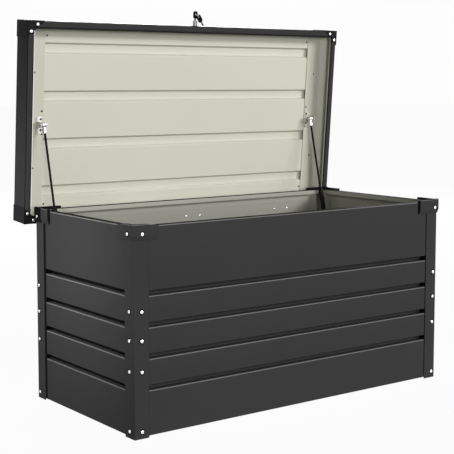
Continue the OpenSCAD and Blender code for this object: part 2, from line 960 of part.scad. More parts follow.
module lid_leaf() {
    half = hinge_width / 2;
    middle = knuckle_width / 2;
    back = body_depth + rail_in;
    difference() {
        union() {
            block([-half, back - leaf_sheet, leaf_bottom], [half, back, lid_leaf_top]);
            block([-middle, back - leaf_sheet, axis_z], [middle, back, lid_leaf_top]);
            block([-middle, axis_y, axis_z - leaf_sheet], [middle, back, axis_z + leaf_sheet]);
            along_x(0, axis_y, axis_z)
                cylinder(d = knuckle_d, h = knuckle_width, center = true, $fn = round_fn);
        }
        pin_bore();
    }
}

module hinge_lid_leaves() {
    color(steel)
        place_lid()
            difference() {
                at_hinges() lid_leaf();
                rivet_holes(lid_rivet_z);
            }
}

module hinge_lid_rivets() {
    color(steel)
        place_lid()
            at_hinges()
                for (side = [-1, 1])
                    rivet(side, body_depth + rail_in - leaf_sheet,
                          body_depth + rail_out, lid_rivet_z);
}

module strut_stud(right) {
    plate_top = lid_zero + end_plate_level;
    plate_x = strut_inset + eye_width / 2 - stud_plate_width;
    plate_y = pivot_closed[0] + stud_plate_before;
    leg_half = stud_leg_width / 2;
    color(steel)
        place_lid()
            at_right(right) {
                block([plate_x, plate_y - stud_plate_length, plate_top - bracket_sheet],
                      [plate_x + stud_plate_width, plate_y, plate_top]);
                block([stud_leg_x, pivot_closed[0] - leg_half, pivot_closed[1] - stud_d],
                      [stud_leg_x + bracket_sheet, pivot_closed[0] + leg_half, plate_top]);
                along_x(stud_leg_x, pivot_closed[0], pivot_closed[1])
                    cylinder(d = stud_d, h = stud_end - stud_leg_x, $fn = round_fn);
                along_x(stud_end, pivot_closed[0], pivot_closed[1])
                    cylinder(d = stud_head_d, h = stud_head_h, $fn = round_fn);
            }
}

// Struts
module strut_fitting(right) {
    color(steel)
        strut_side(right)
            difference() {
                union() {
                    rotate([0, 90, 0])
                        cylinder(d = eye_d, h = eye_width, center = true, $fn = round_fn);
                    translate([0, 0, -fitting_length])
                        cylinder(d = fitting_d, h = fitting_length, $fn = round_fn);
                }
                rotate([0, 90, 0])
                    cylinder(r = stud_d / 2 + running_clearance, h = eye_width + 10,
                             center = true, $fn = round_fn);
            }
}

module strut_side(right) {
    if (right) mirror([1, 0, 0]) place_strut() children();
    else place_strut() children();
}

module strut_rod(right) {
    piston_d = tube_d - 2 * tube_wall - 2 * running_clearance;
    color(black)
        strut_side(right) {
            translate([0, 0, -piston_start])
                cylinder(d = rod_d, h = piston_start - fitting_length, $fn = round_fn);
            translate([0, 0, -piston_start - piston_length])
                cylinder(d = piston_d, h = piston_length, $fn = round_fn);
        }
}

module strut_cylinder(right) {
    color(black)
        strut_side(right) {
            difference() {
                translate([0, 0, -cylinder_end])
                    cylinder(d = tube_d, h = cylinder_end - rod_shown, $fn = round_fn);
                translate([0, 0, cylinder_base - cylinder_end])
                    cylinder(d = tube_d - 2 * tube_wall,
                             h = cylinder_end - cylinder_base - rod_shown - gland_length,
                             $fn = round_fn);
                translate([0, 0, -rod_shown - gland_length - 1])
                    cylinder(r = rod_d / 2 + running_clearance, h = gland_length + 2,
                             $fn = round_fn);
            }
            translate([0, 0, -strut_open]) {
                cylinder(d = fitting_d, h = strut_open - cylinder_end, $fn = round_fn);
                rotate([0, 90, 0])
                    cylinder(d = eye_d, h = tube_d, center = true, $fn = round_fn);
            }
        }
}

// Lock and keys. Distances n outwards from the front posts lie along -Y.
module lock_bore(r, from, to) {
    translate([body_length / 2, -from, lock_z])
        rotate([90, 0, 0]) cylinder(r = r, h = to - from, $fn = round_fn);
}

module lock_hole(r) {
    lock_bore(r, rail_in - 2, rail_out + 2);
}

module lock_barrel() {
    color(steel)
        place_lid()
            difference() {
                union() {
                    lock_bore(barrel_d / 2, rail_out + washer_t, barrel_end);
                    lock_bore(thread_d / 2, thread_end, barrel_end);
                }
                lock_bore(plug_d / 2 + running_clearance, thread_end - 1, barrel_end + 1);
            }
}

module lock_washer() {
    color(black)
        place_lid()
            difference() {
                lock_bore(barrel_d / 2 + washer_rim, rail_out, rail_out + washer_t);
                lock_hole(thread_d / 2);
            }
}

module lock_nut() {
    color(steel)
        place_lid()
            difference() {
                translate([body_length / 2, -rail_in, lock_z])
                    rotate([-90, 0, 0])
                        cylinder(d = lock_nut_flats / cos(30), h = lock_nut_t, $fn = 6);
                lock_bore(thread_d / 2, thread_end, rail_out);
            }
}

module key_slot(depth, wide, thick) {
    block([(body_length - wide) / 2, -barrel_end, lock_z - thick / 2],
          [(body_length + wide) / 2, depth - barrel_end, lock_z + thick / 2]);
}

module lock_plug() {
    color(steel)
        place_lid()
            difference() {
                lock_bore(plug_d / 2, plug_end, barrel_end);
                key_slot(slot_depth, blade_w + 2 * blade_clearance,
                         blade_t + 2 * blade_clearance);
            }
}

module lock_cam() {
    color(steel)
        place_lid()
            difference() {
                union() {
                    lock_bore(cam_width / 2, cam_n, cam_n + cam_t);
                    block([body_length / 2, -cam_n - cam_t, lock_z - cam_width / 2],
                          [body_length / 2 + cam_reach, -cam_n, lock_z + cam_width / 2]);
                }
                lock_bore(plug_d / 2, plug_end, thread_end);
            }
}

module key_blade() {
    color(steel)
        place_lid() {
            key_slot(slot_depth, blade_w, blade_t);
            block([(body_length - key_shoulder) / 2, -bow_n, lock_z - blade_t / 2],
                  [(body_length + key_shoulder) / 2, -barrel_end, lock_z + blade_t / 2]);
        }
}

// A bow lies in the x-n plane, from n = 0 at its blade to n = length at its free end
module bow_plate(wide, length) {
    corner = 4;
    linear_extrude(bow_thickness, center = true) {
        translate([-wide / 2, corner]) square([wide, length - 2 * corner]);
        translate([-wide / 2 + corner, 0]) square([wide - 2 * corner, length]);
        for (x = [-1, 1], y = [corner, length - corner])
            translate([x * (wide / 2 - corner), y]) circle(r = corner, $fn = round_fn);
    }
}

// Turns the x-n plane of a bow onto the lid, with its origin at [x, n] beside the lock's axis
module place_bow(spot, lower) {
    place_lid()
        translate([body_length / 2 + spot[0], -spot[1], lock_z - lower])
            rotate([180, 0, 0]) children();
}

module slot_cut(from, to) {
    along = to - from;
    for (spot = [from, to])
        translate([spot[0], spot[1], 0])
            cylinder(d = bow_slot_d, h = 10, center = true, $fn = small_fn);
    translate([from[0], from[1], 0])
        rotate([0, 0, atan2(along[1], along[0])])
            translate([0, -bow_slot_d / 2, -5]) cube([norm(along), bow_slot_d, 10]);
}

module key_bow() {
    hole = [ring_hole[0], ring_hole[1] - bow_n];
    color(black)
        place_bow([0, bow_n], 0)
            difference() {
                bow_plate(bow_width, bow_length);
                slot_cut(hole, [-1.5, bow_length - 5.5]);
            }
}

module key_ring() {
    middle = (ring_hole + spare_hole) / 2;
    color(steel)
        place_bow(middle, bow_spacing / 2)
            rotate([0, 0, -ring_lean])
                rotate([90, 0, 0])
                    rotate_extrude($fn = 48) translate([ring_r, 0]) circle(d = ring_wire, $fn = 16);
}

// The spare key, drawn along its own axis from the end of its bow
module place_spare() {
    place_bow(spare_hole, bow_spacing)
        rotate([0, 0, 180 + spare_tilt]) children();
}

module spare_bow() {
    color(black)
        place_spare()
            difference() {
                translate([0, -spare_hole_inset, 0]) bow_plate(bow_width, spare_bow_length);
                slot_cut([0, 0], [0, 3]);
            }
}

module spare_blade() {
    start = spare_bow_length - spare_hole_inset;
    color(steel)
        place_spare()
            translate([-spare_blade_width / 2, start, -blade_t / 2])
                cube([spare_blade_width, spare_blade_length, blade_t]);
}

post(false, false);  // post_front_left
post(true, false);  // post_front_right
post(false, true);  // post_rear_left
post(true, true);  // post_rear_right
wall_long(false);  // wall_front
wall_long(true);  // wall_rear
wall_short(false);  // wall_left
wall_short(true);  // wall_right
groove_plugs();
floor_pan();
rim_rail_long(false);  // rim_rail_front
rim_rail_long(true);  // rim_rail_rear
rim_rail_short(false);  // rim_rail_left
rim_rail_short(true);  // rim_rail_right
rim_cap(false, false);  // rim_cap_front_left
rim_cap(true, false);  // rim_cap_front_right
rim_cap(false, true);  // rim_cap_rear_left
rim_cap(true, true);  // rim_cap_rear_right
rim_pads();
post_screws();
hinge_body_leaves();
hinge_pins();
hinge_body_rivets();
strut_bracket(false);  // strut_bracket_left
strut_bracket(true);  // strut_bracket_right
lid_skin();
lid_lining();
lid_end_plate(false);  // lid_end_plate_left
lid_end_plate(true);  // lid_end_plate_right
lid_rail_long(false);  // lid_rail_front
lid_rail_long(true);  // lid_rail_rear
lid_rail_short(false);  // lid_rail_left
lid_rail_short(true);  // lid_rail_right
lid_cap(false, false);  // lid_cap_front_left
lid_cap(true, false);  // lid_cap_front_right
lid_cap(false, true);  // lid_cap_rear_left
lid_cap(true, true);  // lid_cap_rear_right
lid_screws();
lining_screws();
hinge_lid_leaves();
hinge_lid_rivets();
strut_stud(false);  // strut_stud_left
strut_stud(true);  // strut_stud_right
lock_barrel();
lock_washer();
lock_nut();
strut_fitting(false);  // strut_fitting_left
strut_fitting(true);  // strut_fitting_right
strut_rod(false);  // strut_rod_left
strut_rod(true);  // strut_rod_right
strut_cylinder(false);  // strut_cylinder_left
strut_cylinder(true);  // strut_cylinder_right
lock_plug();
lock_cam();
key_blade();
key_bow();
key_ring();
spare_bow();
spare_blade();
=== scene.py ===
import json
import math

import bmesh
import bpy
import numpy as np
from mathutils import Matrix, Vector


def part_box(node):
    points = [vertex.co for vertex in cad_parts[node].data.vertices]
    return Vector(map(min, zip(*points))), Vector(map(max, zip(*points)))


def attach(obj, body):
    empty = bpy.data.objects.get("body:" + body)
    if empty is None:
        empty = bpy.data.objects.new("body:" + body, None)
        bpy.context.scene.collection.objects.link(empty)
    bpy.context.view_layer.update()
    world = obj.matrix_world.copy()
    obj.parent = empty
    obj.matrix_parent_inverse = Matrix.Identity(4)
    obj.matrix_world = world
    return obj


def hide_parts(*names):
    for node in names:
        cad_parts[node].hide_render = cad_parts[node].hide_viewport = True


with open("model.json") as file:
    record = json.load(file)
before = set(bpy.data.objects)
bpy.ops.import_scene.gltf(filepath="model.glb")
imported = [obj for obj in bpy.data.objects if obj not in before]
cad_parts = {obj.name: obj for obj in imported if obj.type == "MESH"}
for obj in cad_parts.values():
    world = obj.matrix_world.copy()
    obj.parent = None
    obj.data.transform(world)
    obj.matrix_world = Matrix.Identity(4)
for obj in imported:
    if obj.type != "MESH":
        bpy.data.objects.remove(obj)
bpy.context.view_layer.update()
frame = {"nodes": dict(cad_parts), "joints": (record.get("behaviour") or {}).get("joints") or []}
print("frame: %d CAD nodes" % len(frame["nodes"]))

# Lengths are in millimetres, in the box's own coordinates: x from the left posts, y from the
# front posts, z up from the ground. place() brings them into the shared frame in metres.
box = {"length": 1138, "depth": 538, "rim": 567, "post": 46}
lid = {"level": 522.5, "over": 31, "open": math.radians(frame["joints"][0]["range_deg"][1])}
origin = np.array(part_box("post_front_left")[0])
hinge = sum(np.array(corner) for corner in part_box("hinge_pins")) / 2
hinge = (hinge - origin) * 1000  # the lid's turning line, at [.., y, z]
outward = {"front": (0, -1, 0), "rear": (0, 1, 0), "left": (-1, 0, 0), "right": (1, 0, 0)}
corners4 = [(right, rear) for rear in (False, True) for right in (False, True)]
lidBodies = ("lid", "key_plug", "spare_key")


# Points from three coordinates that fit each other
def joined(x, y, z):
    return np.stack(np.broadcast_arrays(x, y, z), -1)


# A point of the closed lid, turned back about the hinge line by the opening angle
def opened(points):
    y, z = points[..., 1] - hinge[1], points[..., 2] - hinge[2]
    c, s = math.cos(lid["open"]), math.sin(lid["open"])
    return joined(points[..., 0], hinge[1] + y * c + z * s, hinge[2] - y * s + z * c)


def place(points, onLid=False):
    points = np.asarray(points, float)
    return origin + (opened(points) if onLid else points) / 1000


# A point measured inwards from one of the four corners
def cornerPoints(right, rear, x, y, z, swap=False):
    if swap:
        x, y = y, x
    return joined(box["length"] - x if right else x, box["depth"] - y if rear else y, z)


# Names of a corner: for a piece, such as frontLeft, and for a node, such as front_left
def cornerNames(right, rear):
    first, second = "rear" if rear else "front", "right" if right else "left"
    return first + second.capitalize(), first + "_" + second


# A point of a wall or rail: along its run, inward from the posts' faces, and up
def sidePoints(side, along, inward, up):
    if side in ("front", "rear"):
        return cornerPoints(False, side == "rear", along, inward, up)
    return cornerPoints(side == "right", False, inward, along, up)


def depthIn(side, points):
    return {"front": points[:, 1], "rear": box["depth"] - points[:, 1], "left": points[:, 0],
            "right": box["length"] - points[:, 0]}[side]


def runOf(side):
    return box["length"] if side in ("front", "rear") else box["depth"]


# Places along a run: the given ones at both ends, and inner = (first, count) between them
def stations(run, ends, inner):
    ends, (first, count) = np.array(ends, float), inner
    return np.concatenate([ends, np.linspace(first, run - first, count), run - ends[::-1]])


# Vectors in a plane, turned left by a right angle
def leftOf(way):
    return np.stack([-way[..., 1], way[..., 0]], -1)


# Line through the corners with an arc of the radius at each, and the normal on its left
def bentLine(corners, radius, steps=5):
    corners = np.asarray(corners, float)
    leg = np.diff(corners, axis=0)
    size = np.hypot(leg[:, 0], leg[:, 1])
    way = leg / size[:, None]
    spots, normals = [corners[:1]], [leftOf(way[:1])]
    for k, r in enumerate(np.broadcast_to(radius, len(corners) - 2)):
        side = leftOf(way[k])
        turn = math.atan2(side @ way[k + 1], way[k] @ way[k + 1])
        slope = math.tan(max(abs(turn), 1e-6) / 2)
        reach = min(r * slope, 0.49 * size[k], 0.49 * size[k + 1])
        r = reach / slope
        left = side * math.copysign(1, turn)
        start = corners[k + 1] - way[k] * reach
        t = np.linspace(0, abs(turn), steps + 1)[:, None]
        spots.append(start + left * r * (1 - np.cos(t)) + way[k] * r * np.sin(t))
        normals.append(leftOf(way[k] * np.cos(t) + left * np.sin(t)))
    spots.append(corners[-1:])
    normals.append(leftOf(way[-1:]))
    return np.concatenate(spots), np.concatenate(normals)


def softRow(corners, radius, steps=3):
    return bentLine(corners, radius, steps)[0]


# Both faces of a bent sheet: its middle line moved by half the thickness to each side
def sheetSection(corners, thickness, radius, steps=5):
    line, normal = bentLine(corners, radius, steps)
    return line + normal * thickness / 2, line - normal * thickness / 2


# Rounded rectangle between two corners, as a closed row of points
def boxSection(low, high, radius, steps=3):
    middle = ((low[0] + high[0]) / 2, low[1])
    row = [middle, (high[0], low[1]), high, (low[0], high[1]), low, middle]
    return softRow(row, radius, steps)[:-1]


# The same row once for each size, scaled about its middle
def scaledRows(row, sizes):
    return row.mean(0) + (row - row.mean(0)) * np.array(sizes)[:, None, None]


def smooth(t):
    return t * t * (3 - 2 * t)


# Distance to the nearer end of a run, whose ends lie in by low
def edgeGap(spot, run, low=0):
    return np.minimum(spot - low, run - low - spot)


# How far a sheet curves away at an edge that is bent to a radius
def edgeDrop(gap, bend):
    near = np.clip(bend - np.clip(gap, 0, None), 0, bend)
    return bend - np.sqrt(np.clip(bend ** 2 - near ** 2, 0, None))


# Quads of a grid that is numbered row by row: corner (r, c) is first + r * cols + c
def gridFaces(rows, cols, first=0, roundRows=False, roundCols=False):
    r = np.arange(rows if roundRows else rows - 1)[:, None]
    c = np.arange(cols if roundCols else cols - 1)[None, :]
    r2, c2 = (r + 1) % rows, (c + 1) % cols
    quads = np.stack([r * cols + c, r2 * cols + c, r2 * cols + c2, r * cols + c2], -1)
    return quads.reshape(-1, 4) + first


# Closed sheet between two grids of the same size, joined by a strip round their edge
def shell(front, back):
    rows, cols = front.shape[:2]
    count = rows * cols
    faces = [gridFaces(rows, cols), gridFaces(rows, cols, count)[:, ::-1]]
    number = np.arange(count).reshape(rows, cols)
    ring = np.concatenate([number[0, :-1], number[:-1, -1], number[-1, :0:-1], number[:0:-1, 0]])
    after = np.roll(ring, -1)
    faces.append(np.stack([ring, after, after + count, ring + count], -1))
    kind = np.concatenate([np.full(len(f), k) for k, f in enumerate(faces)])
    points = np.concatenate([front.reshape(-1, 3), back.reshape(-1, 3)])
    return points, np.concatenate(faces), kind


# Sheet along a side, mitred at both ends. Its section is (inward, up), or outward with -1.
def mitredSheet(side, section, piece, inward=1):
    run = runOf(side)
    along = stations(run, piece["ends"], piece["inner"])[:, None]
    grids = []
    for curve in sheetSection(section, piece["sheet"], piece["bend"]):
        n = inward * curve[None, :, 0]
        grids.append(sidePoints(side, np.clip(along, n, run - n), n, curve[None, :, 1]))
    return shell(*grids)


# Closed body round a grid whose columns go round it; its end rows run to their middles
def tube(grid, closed=False):
    if not closed:
        grid = np.concatenate([scaledRows(grid[0], [0]), grid, scaledRows(grid[-1], [0])])
    rows, cols = grid.shape[:2]
    faces = gridFaces(rows, cols, 0, closed, True)
    return grid.reshape(-1, 3), faces, np.zeros(len(faces), int)


# Angles of equal steps round a full turn
def fullTurn(steps):
    return np.linspace(0, 2 * math.pi, steps, endpoint=False)


# Rows (radius, height) turned about Z. petal scales the radius at each angle, by row.
def turned(profile, steps=24, petal=None):
    profile = np.asarray(profile, float)
    angle = fullTurn(steps)[None, :]
    r, h = profile[:, :1], profile[:, 1:2]
    scale = 1 if petal is None else petal(angle, r)
    return joined(r * scale * np.cos(angle), r * scale * np.sin(angle), h)


# Points built about Z, turned so that Z looks along out, and moved to at
def facing(points, at, out):
    out = np.asarray(out, float)
    out = out / np.linalg.norm(out)
    a = np.cross([0, 0, 1.0] if abs(out[2]) < 0.5 else [0, 1.0, 0], out)
    a /= np.linalg.norm(a)
    b = np.cross(out, a)
    return points[..., :1] * a + points[..., 1:2] * b + points[..., 2:3] * out + np.asarray(at)


def spun(rows, at, out, steps=24, petal=None, ring=False):
    return tube(facing(turned(rows, steps, petal), at, out), ring)


# Rows of a turned body and their mirror image about a height
def bothWays(rows, middle):
    return rows + [(r, 2 * middle - h) for r, h in reversed(rows)]


def addObject(name, data):
    thing = bpy.data.objects.new(name, data)
    bpy.context.scene.collection.objects.link(thing)
    return thing


shading = {"sharp": 35, "bevelFrom": 50}


# One mesh of several closed parts. paint(middle, normal, kind) gives each face's material from
# its middle and normal in the box's own coordinates, and from the grid that it belongs to.
def buildPiece(name, parts, body, finishes, slot, nodes=(), bevel=0, paint=None):
    spots, quads, kinds = zip(*parts)
    first = np.cumsum([0] + [len(part) for part in spots])
    points, kinds = np.concatenate(spots), np.concatenate(kinds)
    faces = np.concatenate([part + start for part, start in zip(quads, first)])
    mesh = bpy.data.meshes.new(name)
    mesh.from_pydata(place(points, body in lidBodies).tolist(), [], faces.tolist())
    if paint:
        corner = points[faces]
        normal = np.cross(corner[:, 2] - corner[:, 0], corner[:, 3] - corner[:, 1])
        normal /= np.linalg.norm(normal, axis=1)[:, None] + 1e-12
        number = paint(corner.mean(1), normal, kinds)
        mesh.polygons.foreach_set("material_index", number.astype(np.int32))
    work = bmesh.new()
    work.from_mesh(mesh)
    bmesh.ops.remove_doubles(work, verts=work.verts, dist=2e-6)
    bmesh.ops.dissolve_degenerate(work, dist=1e-7, edges=work.edges)
    bmesh.ops.recalc_face_normals(work, faces=work.faces)
    work.to_mesh(mesh)
    work.free()
    mesh.polygons.foreach_set("use_smooth", np.ones(len(mesh.polygons), bool))
    mesh.set_sharp_from_angle(angle=math.radians(shading["sharp"]))
    for coat in finishes.split():
        mesh.materials.append(coats[coat])
    piece = addObject(name, mesh)
    if bevel:
        edge = piece.modifiers.new("softEdges", "BEVEL")
        edge.width, edge.segments, edge.limit_method = bevel / 1000, 2, "ANGLE"
        edge.angle_limit = math.radians(shading["bevelFrom"])
    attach(piece, body)
    if nodes:
        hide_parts(*nodes)


# A node with its settings; links are {input: socket}, and the last part sets its inputs
def addNode(tree, kind, links=None, **values):
    node = tree.nodes.new(kind)
    inputs = values.pop("inputs", {})
    for label, value in values.items():
        setattr(node, label, value)
    for label, value in inputs.items():
        node.inputs[label].default_value = value
    for label, socket in (links or {}).items():
        tree.links.new(socket, node.inputs[label])
    return node


# Group that gives a height and a mask, with the sockets of its inputs and of the object's
# coordinates
def newGroup(name, inputs):
    group = bpy.data.node_groups.new(name, "ShaderNodeTree")
    for label, value in inputs.items():
        socket = group.interface.new_socket(label, in_out="INPUT", socket_type="NodeSocketFloat")
        socket.default_value = value
    for label in ("Height", "Mask"):
        group.interface.new_socket(label, in_out="OUTPUT", socket_type="NodeSocketFloat")
    spot = addNode(group, "ShaderNodeTexCoord").outputs["Object"]
    return group, addNode(group, "NodeGroupInput").outputs, spot


# Powder coat: a fine peel for the bump and a broad, faint cloud for colour and gloss
coatGroup, given, spot = newGroup("powderCoat", {"Peel": 700, "Cloud": 6})
peel = addNode(coatGroup, "ShaderNodeTexNoise", {"Vector": spot, "Scale": given["Peel"]},
               inputs={"Detail": 3, "Roughness": 0.55})
cloud = addNode(coatGroup, "ShaderNodeTexNoise", {"Vector": spot, "Scale": given["Cloud"]},
                inputs={"Detail": 4, "Roughness": 0.6})
addNode(coatGroup, "NodeGroupOutput",
        {"Height": peel.outputs["Fac"], "Mask": cloud.outputs["Fac"]})

# Drawn metal: noise stretched along one direction, for bright steel
drawnGroup, given, spot = newGroup("drawnMetal", {"Fine": 900, "Stretch": 0.08})
stretch = addNode(drawnGroup, "ShaderNodeCombineXYZ", {"Z": given["Stretch"]},
                  inputs={"X": 1, "Y": 1})
drawn = addNode(drawnGroup, "ShaderNodeVectorMath", {0: spot, 1: stretch.outputs[0]},
                operation="MULTIPLY")
streak = addNode(drawnGroup, "ShaderNodeTexNoise",
                 {"Vector": drawn.outputs[0], "Scale": given["Fine"]}, inputs={"Detail": 2})
streak = streak.outputs["Fac"]
addNode(drawnGroup, "NodeGroupOutput", {"Height": streak, "Mask": streak})


# A grey or three screen levels of 0 to 255, as linear colour
def linear(level):
    c = np.broadcast_to(level, 3) / 255
    return np.where(c <= 0.04045, c / 12.92, ((c + 0.055) / 1.055) ** 2.4)


usualLook = {"gloss": 0.5, "metal": 0, "depth": 0.3, "drift": 0.06, "roughDrift": 0.05,
             "bump": 0.25}


# Principled finish whose colour and roughness drift with its group's mask
def finish(name, look):
    group = drawnGroup if "metal" in look else coatGroup
    look = {**usualLook, **look}
    material = bpy.data.materials.new(name)
    material.use_nodes = True
    tree = material.node_tree
    shader = tree.nodes["Principled BSDF"].inputs
    inputs = {"Peel": look["peel"]} if "peel" in look else {}
    texture = addNode(tree, "ShaderNodeGroup", node_tree=group, inputs=inputs).outputs
    low, high = ((*(linear(look["level"]) * (1 + drift)).tolist(), 1)
                 for drift in (-look["drift"], look["drift"]))
    blend = addNode(tree, "ShaderNodeMix", {0: texture["Mask"]}, data_type="RGBA",
                    inputs={6: low, 7: high})
    tree.links.new(blend.outputs[2], shader["Base Color"])
    span = addNode(tree, "ShaderNodeMapRange", {"Value": texture["Mask"]},
                   inputs={"From Min": 0.3, "From Max": 0.7,
                           "To Min": look["rough"] - look["roughDrift"],
                           "To Max": look["rough"] + look["roughDrift"]})
    tree.links.new(span.outputs["Result"], shader["Roughness"])
    bump = addNode(tree, "ShaderNodeBump", {"Height": texture["Height"]},
                   inputs={"Strength": look["bump"], "Distance": look["depth"] / 1000})
    tree.links.new(bump.outputs["Normal"], shader["Normal"])
    shader["Metallic"].default_value = look["metal"]
    shader["Specular IOR Level"].default_value = look["gloss"]
    return material


# depth is that of the texture, in millimetres; a look with metal is drawn, the others coated
looks = {
    "anthracite": {"level": 56, "rough": 0.5, "gloss": 0.02, "depth": 0.4},
    "lidCoat": {"level": 56, "rough": 0.68, "gloss": 0.02, "depth": 0.2, "bump": 0.12},
    # thinCoat: pale grey painted on bends as a highlight
    "thinCoat": {"level": (102, 102, 101), "rough": 0.45, "gloss": 0.1, "depth": 0.2},
    # darkCoat: near black, painted as a shade line round the lid rails' outer bends
    "darkCoat": {"level": 20, "rough": 0.6, "gloss": 0.04},
    "creamCoat": {"level": (205, 205, 191), "rough": 0.5, "gloss": 0.2, "drift": 0.02},
    # shadedPlateCream: the lining's cream a little darker, painted shade on the end plates
    "shadedPlateCream": {"level": (196, 196, 182), "rough": 0.5, "gloss": 0.2, "drift": 0.02},
    # insideCoat: the cream coat darkened, painted shade for the box's inside
    "insideCoat": {"level": (158, 158, 147), "rough": 0.55, "gloss": 0.15, "drift": 0.04},
    # paleZinc and dullZinc: lit and shaded copies of one zinc, painted light and shade
    "paleZinc": {"level": (232, 232, 230), "rough": 0.42, "gloss": 0.4, "depth": 0.2},
    "dullZinc": {"level": (190, 190, 182), "rough": 0.42, "gloss": 0.4, "depth": 0.2},
    "capGrey": {"level": 55, "rough": 0.55, "gloss": 0.02, "peel": 1400},
    "capPlastic": {"level": 32, "rough": 0.6, "gloss": 0.04, "peel": 1400},
    "blackPlastic": {"level": 10, "rough": 0.7, "gloss": 0.04, "peel": 1400},
    "rubber": {"level": 22, "rough": 0.85, "gloss": 0.1, "depth": 0.4, "peel": 900},
    "strutBlack": {"level": 12, "rough": 0.4, "gloss": 0.06, "depth": 0.2},
    "screwSteel": {"level": 238, "rough": 0.3, "metal": 1, "depth": 0.1},
    "zincSteel": {"level": (150, 150, 144), "rough": 0.5, "metal": 0.8, "depth": 0.2},
    "brightFitting": {"level": (225, 226, 228), "rough": 0.25, "metal": 1, "depth": 0.1},
    "darkScrews": {"level": (52, 52, 50), "rough": 0.5, "metal": 0.6, "depth": 0.1},
    "lockMetal": {"level": 130, "rough": 0.3, "metal": 1, "depth": 0.1},
    "keySteel": {"level": (24, 25, 27), "rough": 0.45, "metal": 0.4, "depth": 0.1},
}
coats = {name: finish(name, look) for name, look in looks.items()}
print("finishes: %d" % len(coats))

camera = {"at": (-1607.9, -2530.6, 940.3), "turn": 36.391, "down": 5.31, "lens": 92.194,
          "sensor": 36, "shift": (0.03, -0.08), "far": 50}
eye = addObject("camera", bpy.data.cameras.new("camera"))
eye.location = place(camera["at"])
eye.rotation_euler = (math.radians(90 - camera["down"]), 0, -math.radians(camera["turn"]))
eye.data.lens, eye.data.sensor_width = camera["lens"], camera["sensor"]
eye.data.shift_x, eye.data.shift_y = camera["shift"]
eye.data.clip_end = camera["far"]
bpy.context.scene.camera = eye

wall = {"face": 2, "sheet": 0.8, "foot": 5, "mouth": 14, "depth": 24, "pitch": 84.6, "top": 381,
        "count": 4, "start": 40, "bend": 1.7, "ledgeBend": 2.6, "foldBends": [2.4, 1.4],
        "lip": 27.2, "rearLip": 21.2, "return": 13.4, "foldFrom": 540, "bulge": 0.35,
        "ends": (0, 1, 2, 4, 8, 14, 22, 28, 39.4, 40.6, 70), "inner": (100, 9),
        "bent": (0.15, 0.985), "level": 0.9, "slack": 0.2, "highlightRim": 3, "shadedRimTop": 1.2,
        "edge": 1}


# Sheet with pressed grooves: the section is carried along the wall, and within the grooves' ends
# the inward distance falls back to the plain face
def makeWall(side):
    half, face, start = wall["sheet"] / 2, wall["face"], wall["start"]
    near, deep = face + half, face + wall["depth"] + half
    corners = [(near, wall["foot"])]
    for k in reversed(range(wall["count"])):
        low = wall["top"] - k * wall["pitch"] - half
        high = low + wall["mouth"] + 2 * half
        corners += [(near, low), (deep, low), (deep, high), (near, high)]
    lip = wall["rearLip" if side == "rear" else "lip"]
    rim = box["rim"] - half
    corners += [(near, rim), (lip, rim), (lip, rim - wall["return"])]
    bends = ([wall["ledgeBend"]] + [wall["bend"]] * 3) * wall["count"] + wall["foldBends"]
    run = runOf(side)
    along = stations(run, wall["ends"], wall["inner"])[:, None]
    swell = wall["bulge"] * np.sin(math.pi * np.clip(along / run, 0, 1)) ** 2
    grids = []
    for curve, plain in zip(sheetSection(corners, wall["sheet"], bends),
                            (face, face + wall["sheet"])):
        n, z = curve[None, :, 0], curve[None, :, 1]
        n = np.where((along > start) & (along < run - start) | (z > wall["foldFrom"]), n, plain)
        low = np.where(z > wall["foldFrom"], np.maximum(n, face), face)
        grids.append(sidePoints(side, np.clip(along, low, run - low), n + swell, z))

    # 0 coat, 1 darker cream inside and down the rim's return (painted shade), 2 black top of the
    # rim (painted shade), 3 pale coat on the bends that stand out (painted highlight)
    def paint(middle, normal, kind):
        n, z, up = depthIn(side, middle), middle[:, 2], np.abs(normal[:, 2])
        below, drop, reach, edge = box["rim"] - z, wall["top"] - z, wall["ledgeBend"], wall["edge"]
        ledge = (drop % wall["pitch"] < reach + wall["slack"]) & (drop > -edge)
        ledge &= drop < (wall["count"] - 1) * wall["pitch"] + reach
        bent = (kind == 0) & (up > wall["bent"][0]) & (up < wall["bent"][1]) & (n < face + reach)
        number = np.where(kind == 1, 1, 0)
        number[(kind == 0) & (below < wall["shadedRimTop"]) & (up > wall["level"])] = 2
        number[(kind != 1) & (below > edge) & (n > lip - edge) & (z > wall["foldFrom"])] = 1
        number[bent & (ledge | (below < wall["highlightRim"]))] = 3
        return number

    buildPiece(side + "Wall", [shell(*grids)], "box",
               "anthracite insideCoat blackPlastic thinCoat", "anthracite", ["wall_" + side],
               paint=paint)


for side in outward:
    makeWall(side)
print("walls pressed")

post = {"sheet": 2, "bend": 2.6, "heights": (0, 0.4, 190, 380, 566.4, 567)}
for right, rear in corners4:
    half, leg = post["sheet"] / 2, box["post"]
    curves = sheetSection([(leg, half), (half, half), (half, leg)], post["sheet"],
                          post["bend"], 8)
    height = np.array(post["heights"])[:, None]
    piece, node = cornerNames(right, rear)
    buildPiece(piece + "Post",
               [shell(*(cornerPoints(right, rear, *c.T[:, None], height) for c in curves))],
               "box", "anthracite", "anthracite", ["post_" + node], bevel=0.3)

# Dark bead in the corner between each leg's edge and the panel, standing in for shade there: a
# slope that fits the leg
shadeBead = {"front": 1.4, "side": 2.6, "rear": 9, "lift": 0.1, "flat": 0.3, "end": 2, "back": 2.3,
        "heights": (5, 5.3, 528.7, 529)}
parts = []
for right, rear in corners4:
    for swap in (False, True):
        leg, lift, back = box["post"], shadeBead["lift"], shadeBead["back"]
        wide = leg + (shadeBead["rear"] if rear else shadeBead["side" if swap else "front"])
        row = np.array([(leg, back), (leg, lift), (leg + shadeBead["flat"], lift),
                        (wide, shadeBead["end"]), (wide, back)])
        z = np.array(shadeBead["heights"])[:, None]
        parts.append(tube(cornerPoints(right, rear, *row.T[:, None], z, swap)))
buildPiece("postShadeBeads", parts, "box", "blackPlastic", "rubber")
print("posts folded and sealed")

